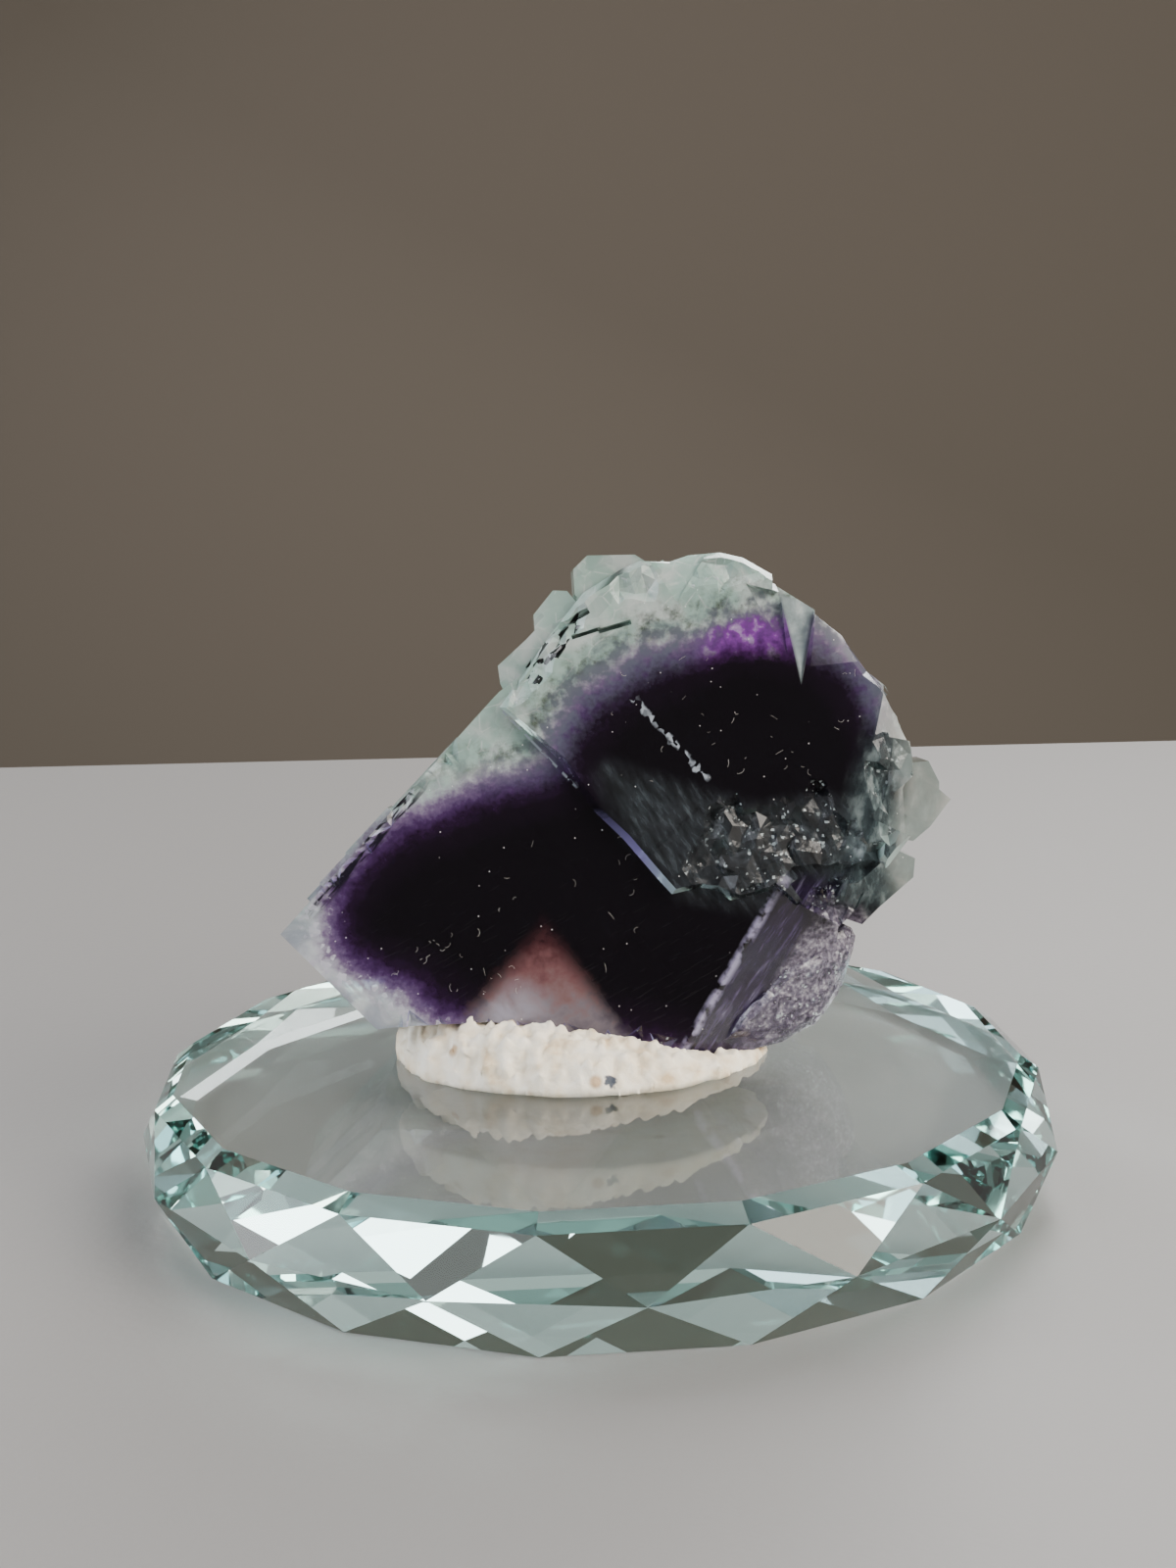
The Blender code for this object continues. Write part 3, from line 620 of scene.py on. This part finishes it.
        # Painted shade: black on the faces of the rim's small steps that turn away from the front,
        # where it has slits
        whole = node("Math", {0: 1.0, 1: self.rough}, operation="SUBTRACT")
        across, _ = RIM_TOP_LEFT.distances(node, self.place)
        slit_shade = self.where_all(
            Span(self.facing, 0.6, 0.4), Span(across, 0.6, 1.2), Span(self.up, 35.0, 36.0),
            Span(self.right, 4.5, 3.5), Span(self.out, -2.6, -2.2), whole)
        # Dark bars along the left edge
        across, along = EDGE_LEFT.distances(node, self.place)
        bars = self.streaks(0.811, (5.0, 0.8, 1.0), 3.0)
        band = self.where_all(
            Span(across, 1.9, 1.1, Blend.SMOOTH), Span(along, 24.0, 19.0, Blend.SMOOTH),
            Span(along, 2.0, 6.0, Blend.SMOOTH), Span(bars, 0.46, 0.56, Blend.SMOOTH),
            Span(self.out, -3.2, -1.8))
        return [Layer(chip, chipped), Layer(gap, self.crack_and_shade_black),
                Layer(slit_shade, self.crack_and_shade_black), Layer(band, "#17121F")]

    def white_grains(self) -> list[Layer]:
        """Colour the granular white of the vein, the healed crack and the dark zone's fringe.

        Returns:
            The layers.
        """
        node = self.node
        wander = node("Math", {0: self.mottle, 1: 1.6, 2: -0.8}, operation="MULTIPLY_ADD")
        lines = []
        for line, shift, width, length, least in ((VEIN, wander, 0.40, 13.4, 0.45),
                                                  (HEALED_CRACK, 0.0, 0.18, 12.5, 0.30)):
            across, along = line.distances(node, self.place)
            across = node("Math", {0: across, 1: shift})
            away = node("Math", {0: across}, operation="ABSOLUTE")
            lines.append(self.where_all(
                Span(away, width, 0.3 * width), Span(along, 0.0, 0.5),
                Span(along, length, length - 0.5), Span(self.crumb, least, least + 0.2),
                self.front))
        white = node("Math", {0: lines[0], 1: lines[1]}, operation="MAXIMUM")
        fringe = self.where_all(Span(self.dark, -4.6, -3.0, Blend.SMOOTH),
                                Span(self.dark, -0.6, -1.8, Blend.SMOOTH),
                                Span(self.crumb, 0.74, 0.86), self.low)
        return [Layer(white, "#9CA3AD", 0.1), Layer(fringe, "#D2CEDC")]

    def glints_scuffs_and_dust(self) -> list[Layer]:
        """Colour the white scuffs on the broken patches, with painted glints among them, and the
        dust on the glassy face.

        Returns:
            The layers.
        """
        node = self.node
        glint_flake = self.cell_shade(self.place, 1.0 / self.glint_flake_mm, Cells.SQUARE)
        specks = node("TexVoronoi", {"Vector": self.place, "Scale": 1.0 / self.dust_mm}, "Distance")
        pick = node("SeparateColor", {0: specks.node.outputs["Color"]})
        self.dust = self.where_all(Span(specks, 0.07, 0.035), Span(pick, 0.50, 0.54))
        # Painted glints: pale square flecks on the broken faces, among the scuffs
        return [Layer(self.where_all(Span(glint_flake, 0.93, 0.97), self.rough), "#AEB8BA", 0.2),
                Layer(self.dust, "#B8B4B4", 0.0)]

    def relief_and_gloss(self) -> tuple[Socket, Socket]:
        """Roughen the breaks with fine hackle, and score the flat faces with hairline scratches.

        Returns:
            The bumped normal and the roughness.
        """
        node = self.node
        scratches = self.streaks(0.5, (4.0, 0.25, 1.0), 2.0)
        scratches = self.where_all(Span(scratches, 0.62, 0.72, high=0.05))
        # Hackle about half a millimetre wide
        hackle = node("TexNoise", {"Vector": self.place, "Scale": 2.0, "Detail": 4.0})
        # Square growth hillocks about 2.5 mm wide on the natural cube faces at the back
        hillocks = node("TexVoronoi", {"Vector": self.squared, "Scale": 1.0, "Randomness": 0.7},
                        "Distance", distance=Cells.SQUARE)
        grown = self.where_all(hillocks, Span(self.out, -2.0, -3.5, high=0.35))
        flat = node("Math", {0: scratches, 1: grown})
        torn = node("Math", {0: self.rough, 1: self.lobe}, operation="MAXIMUM")
        relief = node("Mix", {0: torn, 2: flat, 3: hackle})
        relief = node("Mix", {0: self.plane, 2: relief, 3: self.comb})
        bump = node("Bump", {"Height": relief, "Strength": 0.5, "Distance": 0.12 * MM})
        gloss = node("Mix", {0: torn, 2: 0.06, 3: 0.24})
        gloss = node("Mix", {0: self.plane, 2: gloss, 3: 0.12})
        return bump, node("Mix", {0: self.dust, 2: gloss, 3: 0.8})

    def material(self) -> bpy.types.Material:
        """Build the material.

        Returns:
            The finished material.
        """
        node = self.node
        colour = self.rim()
        # Little light passes in the dark zones, and most of it in the rim
        passed = self.where_all(Span(self.dark, -3.8, 0.8, low=0.52, high=0.05))
        passed = node("Mix", {0: self.rear, 2: passed, 3: 0.62})
        for look in (self.purple_zones, self.smoke_and_veil, self.phantom, self.torn_side,
                     self.steps_and_blocks, self.chip_and_cracks, self.white_grains,
                     self.glints_scuffs_and_dust):
            for layer in look():
                colour = self.painted(colour, layer)
                if layer.passes is not None:
                    passed = node("Mix", {0: layer.share, 2: passed, 3: layer.passes})
        bump, gloss = self.relief_and_gloss()
        shader = node("BsdfPrincipled", {
            "Base Color": colour, "Roughness": gloss, "IOR": self.ior,
            "Transmission Weight": passed, "Normal": bump})
        depth_tint = node("VolumeAbsorption", {"Color": "#B8CFC8", "Density": 16.0})
        node("OutputMaterial", {"Surface": shader, "Volume": depth_tint})
        return self.result


@dataclass(frozen=True)
class ClearGlass:
    """Soda lime glass, pressed, then cut and polished in flat facets: clear with a green edge."""

    ior: float = 1.52
    edge_green: str = "#9CE2DC"

    def material(self) -> bpy.types.Material:
        """Build the material.

        Returns:
            The finished material.
        """
        result, node = new_material("cut_clear_glass")
        world = node("TexCoord", out="Object")
        # Faint finger smears, about two centimetres across, that dull the polish in places
        smears = node("TexNoise", {"Vector": world, "Scale": 55.0, "Detail": 5.0})
        gloss = node("MapRange", {0: smears, 1: 0.45, 2: 0.75, 3: 0.0, 4: 0.035})
        shader = node("BsdfPrincipled", {
            "Base Color": "#FFFFFF", "Roughness": gloss, "IOR": self.ior,
            "Transmission Weight": 1.0})
        green = node("VolumeAbsorption", {"Color": self.edge_green, "Density": 7.5})
        node("OutputMaterial", {"Surface": shader, "Volume": green})
        return result


@dataclass(frozen=True)
class DisplayPutty:
    """White display putty, kneaded and pressed on by hand: matt, wrinkled, a little soiled."""

    # Where a grey smudge is, in millimetres from the middle of the glass
    smudge_mm: tuple[float, ...] = (1.3, -15.6, 14.2)

    def material(self) -> bpy.types.Material:
        """Build the material.

        Returns:
            The finished material.
        """
        result, node = new_material("kneaded_display_putty")
        world = node("TexCoord", out="Object")
        place = node("VectorMath", {0: world, "Scale": 1.0 / MM}, operation="SCALE")
        # Blotches a few millimetres across, cream to beige, where fingers have soiled it
        soil = node("TexNoise", {"Vector": place, "Scale": 0.4, "Detail": 4.0})
        colour = node("ValToRGB", {0: soil}, stops=[
            (0.28, "#DAC09A"), (0.42, "#F1E3CA"), (0.55, "#FBF2DF"), (0.75, "#FFFBF0")])
        # Beige spots about 6 mm apart, and one grey smudge
        spots = node("TexVoronoi", {"Vector": place, "Scale": 0.16}, "Distance")
        beige = node("MapRange", {0: spots, 1: 0.15, 2: 0.06}, interpolation_type=Blend.SMOOTH)
        colour = node("Mix", {0: beige, 6: colour, 7: "#CBAE8C"}, 2, data_type="RGBA")
        reach = node("VectorMath", {0: place, 1: self.smudge_mm}, "Value", operation="DISTANCE")
        ragged = node("TexNoise", {"Vector": place, "Scale": 1.4, "Detail": 3.0})
        reach = node("Math", {0: ragged, 1: 1.6, 2: reach}, operation="MULTIPLY_ADD")
        speck = node("MapRange", {0: reach, 1: 1.6, 2: 1.25}, interpolation_type=Blend.SMOOTH)
        colour = node("Mix", {0: speck, 6: colour, 7: "#4B515D"}, 2, data_type="RGBA")
        kneading = node("TexNoise", {"Vector": place, "Scale": 1.3, "Detail": 6.0})
        bump = node("Bump", {"Height": kneading, "Strength": 0.6, "Distance": 0.25 * MM})
        shader = node("BsdfPrincipled", {"Base Color": colour, "Roughness": 0.62, "IOR": 1.45,
                                         "Normal": bump})
        node("OutputMaterial", {"Surface": shader})
        return result


@dataclass(frozen=True)
class PlainPaint:
    """Matt wall or furniture paint, rolled on: it has a faint orange peel."""

    name: str
    colour: str
    roughness: float
    peel_mm: float = 1.0

    def material(self) -> bpy.types.Material:
        """Build the material.

        Returns:
            The finished material.
        """
        result, node = new_material(self.name)
        world = node("TexCoord", out="Object")
        peel = node("TexNoise", {"Vector": world, "Scale": 1.0 / (self.peel_mm * MM),
                                 "Detail": 2.0})
        bump = node("Bump", {"Height": peel, "Strength": 0.25, "Distance": 0.12 * MM})
        shader = node("BsdfPrincipled", {"Base Color": self.colour, "Roughness": self.roughness,
                                         "Normal": bump})
        node("OutputMaterial", {"Surface": shader})
        return result


@dataclass(frozen=True)
class LintFibre:
    """Household lint: fine off-white fibres that lie on the glassy face."""

    def material(self) -> bpy.types.Material:
        """Build the material.

        Returns:
            The finished material.
        """
        result, node = new_material("cotton_lint")
        world = node("TexCoord", out="Object")
        # Shades change every few millimetres, so that some fibres look thinner than others
        shade = node("TexNoise", {"Vector": world, "Scale": 300.0})
        colour = node("ValToRGB", {0: shade}, stops=[(0.35, "#8C8782"), (0.65, "#CFCBC5")])
        shader = node("BsdfPrincipled", {"Base Color": colour, "Roughness": 0.8})
        node("OutputMaterial", {"Surface": shader})
        return result


def welded(solid: bpy.types.Object) -> bmesh.types.BMesh:
    """Copy a solid to a mesh under work, with the corners of its faces joined.

    Args:
        solid: The solid's object.

    Returns:
        The mesh under work.
    """
    shape = bmesh.new()
    shape.from_mesh(solid.data)
    bmesh.ops.remove_doubles(shape, verts=shape.verts[:], dist=WELD)
    return shape


def object_from(shape: bmesh.types.BMesh, name: str,
                material: bpy.types.Material | None) -> bpy.types.Object:
    """Make an object from a mesh under work and free the mesh.

    Args:
        shape: The mesh under work.
        name: The object's name.
        material: Its material, or none for a helper.

    Returns:
        The object, linked to the scene.
    """
    mesh = bpy.data.meshes.new(name)
    shape.to_mesh(mesh)
    shape.free()
    if material:
        mesh.materials.append(material)
    result = bpy.data.objects.new(name, mesh)
    bpy.context.scene.collection.objects.link(result)
    return result


@dataclass
class CrystalGroup:
    """The fluorite crystals, refined from their solid where they are broken."""

    frame: dict
    node: str = "fluorite_crystals"
    flat_angle: float = math.radians(2.0)
    largest_facet_mm2: float = 4.0
    facet_cuts: int = 2
    hackle_mm: float = 0.16

    def broken_faces(self, shape: bmesh.types.BMesh) -> list[bmesh.types.BMFace]:
        """Find the small facets that lie flat with none of their neighbours."""
        largest = self.largest_facet_mm2 * MM * MM
        return [face for face in shape.faces if face.calc_area() < largest
                and all(edge.calc_face_angle(0.0) > self.flat_angle for edge in face.edges)]

    def build(self) -> bpy.types.Object:
        """Refine the solid and roughen its broken patches.

        Returns:
            The dressed crystals.
        """
        shape = welded(self.frame["nodes"][self.node])
        broken = shape.faces.layers.int.new("broken_face")
        faces = self.broken_faces(shape)
        for face in faces:
            face[broken] = 1
        edges = list({edge for face in faces for edge in face.edges})
        bmesh.ops.subdivide_edges(shape, edges=edges, cuts=self.facet_cuts, use_grid_fill=True)
        bmesh.ops.triangulate(shape, faces=shape.faces[:])
        shape.normal_update()
        inner = [corner for corner in shape.verts
                 if corner.link_faces and all(face[broken] for face in corner.link_faces)]
        for corner in inner:
            spot = corner.co / MM
            rise = noise.noise(spot * 1.4) + 0.7 * noise.noise(spot * 3.1)
            corner.co += corner.normal * rise * self.hackle_mm * MM
        mark = shape.faces.layers.float.new("broken")
        for face in shape.faces:
            face[mark] = float(face[broken])
        result = object_from(shape, "fluorite_crystal_group", CleavedFluorite().material())
        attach(result, BODY)
        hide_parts(self.node)
        return result


@dataclass
class PuttyPad:
    """The putty, wrinkled by hand and pressed against the glass and the crystals."""

    frame: dict
    crystals: bpy.types.Object
    node: str = "putty_pad"
    grid_mm: float = 0.28
    wrinkle_mm: float = 0.42
    fold_mm: float = 0.7
    # The deep upright folds are on the left and fade out towards this x
    folds_until: float = 4.0
    crumb_mm: float = 1.3
    swell_mm: float = 0.16
    # Up to this height the putty lies flat on the glass
    foot_mm: float = 0.2
    contact_mm: float = 0.03
    # A point counts as inside the stone when it lies this squarely behind the nearest face
    inside_share: float = 0.7
    deepest_mm: float = 1.5

    def even_grid(self) -> bmesh.types.BMesh:
        """Cover the solid with an even grid that is fine enough for wrinkles.

        Returns:
            The gridded mesh.
        """
        solid = welded(self.frame["nodes"][self.node])
        source = object_from(solid, "putty_source", None)
        grid = source.modifiers.new("even_grid", "REMESH")
        grid.mode = "VOXEL"
        grid.voxel_size = self.grid_mm * MM
        shape = bmesh.new()
        shape.from_object(source, bpy.context.evaluated_depsgraph_get())
        bpy.data.meshes.remove(source.data)
        return shape

    def pressed(self, spot: Vector, stone: BVHTree) -> Vector:
        """Keep a point out of the crystals.

        Args:
            spot: The point that the wrinkles ask for.
            stone: The crystals' faces.

        Returns:
            The point, or the nearest one just outside the crystals.
        """
        near, normal, _, reach = stone.find_nearest(spot)
        contact = self.contact_mm * MM
        inside = (spot - near).dot(normal) < -self.inside_share * reach
        if reach < contact or inside and reach < self.deepest_mm * MM:
            return near + normal * contact
        return spot

    def wrinkle(self, spot: Vector) -> float:
        """Say how far the putty stands out from its solid at a point.

        Args:
            spot: The point, in millimetres.

        Returns:
            The rise in millimetres.
        """
        # Folds run upright, so their noise changes slowly with height
        fold = noise.noise(Vector((spot.x * 0.6, spot.y * 0.6, spot.z * 0.18)))
        fold *= min(max((self.folds_until - spot.x) * 0.08, 0.25), 1.0)
        rise = self.swell_mm + noise.noise(spot * 0.8) * self.wrinkle_mm
        return rise + (noise.noise(spot * 2.0) * 0.45 * self.wrinkle_mm + fold * self.fold_mm)

    def build(self) -> bpy.types.Object:
        """Refine the solid, wrinkle it and close its small gaps.

        Returns:
            The dressed putty.
        """
        shape = self.even_grid()
        low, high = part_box(self.node)
        glass_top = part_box("glass_disc")[1].z
        stone = BVHTree.FromPolygons([corner.co.copy() for corner in self.crystals.data.vertices],
                                     [tuple(face.vertices) for face in self.crystals.data.polygons])
        shape.normal_update()
        floor = low.z + self.foot_mm * MM
        moves = {}
        for corner in shape.verts:
            spot = corner.co / MM
            firm = min(max((corner.co.z - floor) / MM * 0.6, 0.15), 1.0)
            move = corner.normal * self.wrinkle(spot) * firm
            # Crumbs rise on the upper side
            if corner.normal.z > 0.2:
                move.z += max(noise.noise(spot * 0.9 + Vector((7.0, 0.0, 0.0))), 0.0) * self.crumb_mm
            moves[corner] = move * MM
        for corner, move in moves.items():
            if corner.co.z < floor:
                corner.co.z = glass_top + SKIN
            else:
                corner.co = self.pressed(corner.co + move, stone)
                corner.co.z = max(corner.co.z, glass_top + SKIN)
            corner.co.x = min(max(corner.co.x, low.x), high.x)
            corner.co.y = min(max(corner.co.y, low.y), high.y)
        for face in shape.faces:
            face.smooth = True
        result = object_from(shape, "pressed_putty", DisplayPutty().material())
        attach(result, BODY)
        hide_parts(self.node)
        return result


@dataclass
class GlassDisc:
    """The faceted glass base, which keeps its solid."""

    frame: dict
    node: str = "glass_disc"

    def dress(self) -> bpy.types.Object:
        """Give the solid its glass.

        Returns:
            The disc.
        """
        disc = self.frame["nodes"][self.node]
        disc.data.materials.clear()
        disc.data.materials.append(ClearGlass().material())
        return disc


@dataclass
class Lint:
    """Fine fibres lying on the front face."""

    count: int = 64
    thickness_mm: float = 0.024
    longest_mm: float = 1.0
    bends: int = 6
    lower_share: float = 0.55
    # How far the upper front face stands out from the lower one
    step_mm: float = 1.7
    seed: int = 7

    def build(self) -> bpy.types.Object:
        """Make the fibres as thin closed tubes on the two front faces.

        Returns:
            The fibres as one mesh.
        """
        chance = random.Random(self.seed)
        shape = bmesh.new()
        for _ in range(self.count):
            lower = chance.random() < self.lower_share
            u = chance.uniform(-22.0, 6.0) if lower else chance.uniform(2.0, 28.0)
            v = chance.uniform(3.0, 20.0) if lower else chance.uniform(25.0, 38.0)
            # The lower face ends at its slanted left edge
            if lower and v - 3.0 > (u + 26.0) * 0.9:
                v = 3.0 + (u + 26.0) * 0.5
            level = (0.0 if lower else self.step_mm) + self.thickness_mm * 0.6
            heading = chance.uniform(0.0, math.tau)
            bend = chance.uniform(-0.9, 0.9)
            step = chance.uniform(0.2, 1.0) * self.longest_mm / self.bends
            points = []
            for _ in range(self.bends + 1):
                points.append(face_place(u, v, level))
                u += math.cos(heading) * step
                v += math.sin(heading) * step
                heading += bend * 0.5
            self.tube(shape, points)
        result = object_from(shape, "lint_fibres", LintFibre().material())
        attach(result, BODY)
        return result

    def tube(self, shape: bmesh.types.BMesh, points: list[Vector]) -> None:
        """Add one closed four-sided tube.

        Args:
            shape: The mesh that it is added to.
            points: The tube's middle line.
        """
        half = self.thickness_mm * 0.5 * MM
        rings = []
        out = face_place(0.0, 0.0, 1.0) - face_place(0.0, 0.0, 0.0)
        out.normalize()
        for step, point in enumerate(points):
            before, after = points[max(step - 1, 0)], points[min(step + 1, len(points) - 1)]
            aside = (after - before).normalized().cross(out)
            rings.append([shape.verts.new(point + offset * half)
                          for offset in (aside, out, -aside, -out)])
        for first, second in zip(rings, rings[1:]):
            for corner in range(4):
                other = (corner + 1) % 4
                shape.faces.new((first[corner], first[other], second[other], second[corner]))
        shape.faces.new(tuple(reversed(rings[0])))
        shape.faces.new(tuple(rings[-1]))


@dataclass
class Stage:
    """The pale table top and the plain wall behind it."""

    half_width: float = 0.60
    front: float = -0.60
    back: float = 0.285
    thickness: float = 0.03
    # The floor lies a hair under the glass, so that the two faces don't coincide
    gap: float = 0.1 * MM
    wall_y: float = 0.95
    wall_half: float = 1.6
    wall_foot: float = -0.6
    wall_top: float = 1.6

    def build(self) -> list[bpy.types.Object]:
        """Make the floor and the wall.

        Returns:
            Both objects.
        """
        shape = bmesh.new()
        bmesh.ops.create_cube(shape, size=1.0)
        size = Vector((2.0 * self.half_width, self.back - self.front, self.thickness))
        middle = Vector((0.0, 0.5 * (self.back + self.front), -0.5 * self.thickness - self.gap))
        for corner in shape.verts:
            corner.co = Vector(a * b for a, b in zip(corner.co, size)) + middle
        bmesh.ops.bevel(shape, geom=shape.edges[:], offset=0.002, segments=3, affect="EDGES")
        floor = object_from(shape, "floor", PlainPaint("pale_table", "#838180", 0.5).material())
        shape = bmesh.new()
        half, low, high = self.wall_half, self.wall_foot, self.wall_top
        corners = [(-half, self.wall_y, low), (half, self.wall_y, low),
                   (half, self.wall_y, high), (-half, self.wall_y, high)]
        shape.faces.new([shape.verts.new(corner) for corner in corners])
        wall = object_from(shape, "backdrop", PlainPaint("wall_paint", "#665E54", 0.9).material())
        return [floor, wall]


@dataclass
class PhotoCamera:
    """The camera that was fitted to the disc's corners in the photograph."""

    place: Vector
    lens_mm: float = 44.55
    sensor_mm: float = 36.0
    # Turned down and sideways, in radians
    pitch: float = 0.176
    roll: float = -0.023

    def build(self) -> bpy.types.Object:
        """Make the camera and use it.

        Returns:
            The camera.
        """
        data = bpy.data.cameras.new("camera")
        data.lens = self.lens_mm
        data.sensor_width = self.sensor_mm
        data.clip_start = 0.01
        camera = bpy.data.objects.new("camera", data)
        ahead = Vector((0.0, math.cos(self.pitch), -math.sin(self.pitch)))
        right = Vector((1.0, 0.0, 0.0))
        up = right.cross(ahead)
        turned_right = right * math.cos(self.roll) + up * math.sin(self.roll)
        turned_up = up * math.cos(self.roll) - right * math.sin(self.roll)
        turn = Matrix((turned_right, turned_up, -ahead)).transposed().to_4x4()
        camera.matrix_world = Matrix.Translation(self.place) @ turn
        bpy.context.scene.collection.objects.link(camera)
        bpy.context.scene.camera = camera
        return camera


@dataclass
class Softbox:
    """One rectangular studio light that looks at the specimen."""

    name: str
    place: Vector
    size: tuple[float, float]
    power: float
    colour: str = "#FFFFFF"

    def build(self) -> bpy.types.Object:
        """Make the light.

        Returns:
            The light.
        """
        data = bpy.data.lights.new(self.name, "AREA")
        data.shape = "RECTANGLE"
        data.size, data.size_y = self.size
        data.energy = self.power
        data.color = linear(self.colour)[:3]
        light = bpy.data.objects.new(self.name, data)
        light.location = self.place
        light.rotation_euler = (self.place - LIT_SPOT).to_track_quat("Z", "Y").to_euler()
        bpy.context.scene.collection.objects.link(light)
        return light


def room_light(above: str, ahead: str, strength: float) -> None:
    """Light the room: pale overhead and behind the specimen, darker behind the camera.

    Args:
        above: The ceiling's sRGB hex colour.
        ahead: The colour of the dark side of the room.
        strength: The light's strength.
    """
    world = bpy.data.worlds.new("room")
    bpy.context.scene.world = world
    world.use_nodes = True
    world.node_tree.nodes.clear()
    node = partial(add_node, world.node_tree)
    # The pale side is up behind the specimen
    direction = node("TexCoord", out="Generated")
    towards = node("VectorMath", {0: direction, 1: (0.0, 0.75, 0.66)}, "Value",
                   operation="DOT_PRODUCT")
    share = node("MapRange", {0: towards, 1: -0.75, 2: 0.25}, interpolation_type=Blend.SMOOTH)
    colour = node("Mix", {0: share, 6: ahead, 7: above}, 2, data_type="RGBA")
    sky = node("Background", {"Color": colour, "Strength": strength})
    node("OutputWorld", {"Surface": sky})


def light_paths(bounces: int) -> None:
    """Let light turn often enough inside the cut glass, or its facets would show black.

    The glass also stays as smooth for light from the table as for the camera, or the table under
    it would look dark.

    Args:
        bounces: The most turns of a light path.
    """
    paths = bpy.context.scene.cycles
    paths.max_bounces = bounces
    paths.transmission_bounces = bounces
    paths.glossy_bounces = bounces
    paths.blur_glossy = 0.0


def corners(box: object) -> list[list[float]]:
    """Turn a box's two corners to plain lists of numbers."""
    return [[float(value) for value in corner] for corner in box]


def main() -> None:
    """Build the stage and the pieces."""
    logging.basicConfig(level=logging.INFO, format="%(name)s: %(message)s")
    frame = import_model()
    PhotoCamera(Vector((-0.26, -206.64, 79.26)) * MM).build()
    light_paths(bounces=24)
    room_light(above="#C8C6C2", ahead="#5C5956", strength=1.2)
    for light in (Softbox("key", Vector((0.60, -0.34, 0.42)), (0.60, 0.60), 11.5, "#FFF7EC"),
                  Softbox("fill", Vector((-0.7, -0.5, 0.7)), (0.8, 0.8), 4.4, "#E8F0FF"),
                  Softbox("side", Vector((-0.62, -0.12, 0.16)), (0.36, 0.3), 2.2, "#F2F7FF"),
                  Softbox("rim", Vector((0.25, 0.55, 0.5)), (0.45, 0.45), 5.0),
                  Softbox("back", Vector((-0.45, 0.5, 0.6)), (0.4, 0.4), 3.0)):
        light.build()
    for piece in Stage().build():
        log.info("stage %s", piece.name)
    crystals = CrystalGroup(frame).build()
    for piece in (crystals, PuttyPad(frame, crystals).build(), GlassDisc(frame).dress(),
                  Lint().build()):
        log.info("%s: %d faces", piece.name, len(piece.data.polygons))


if __name__ == "__main__":
    main()
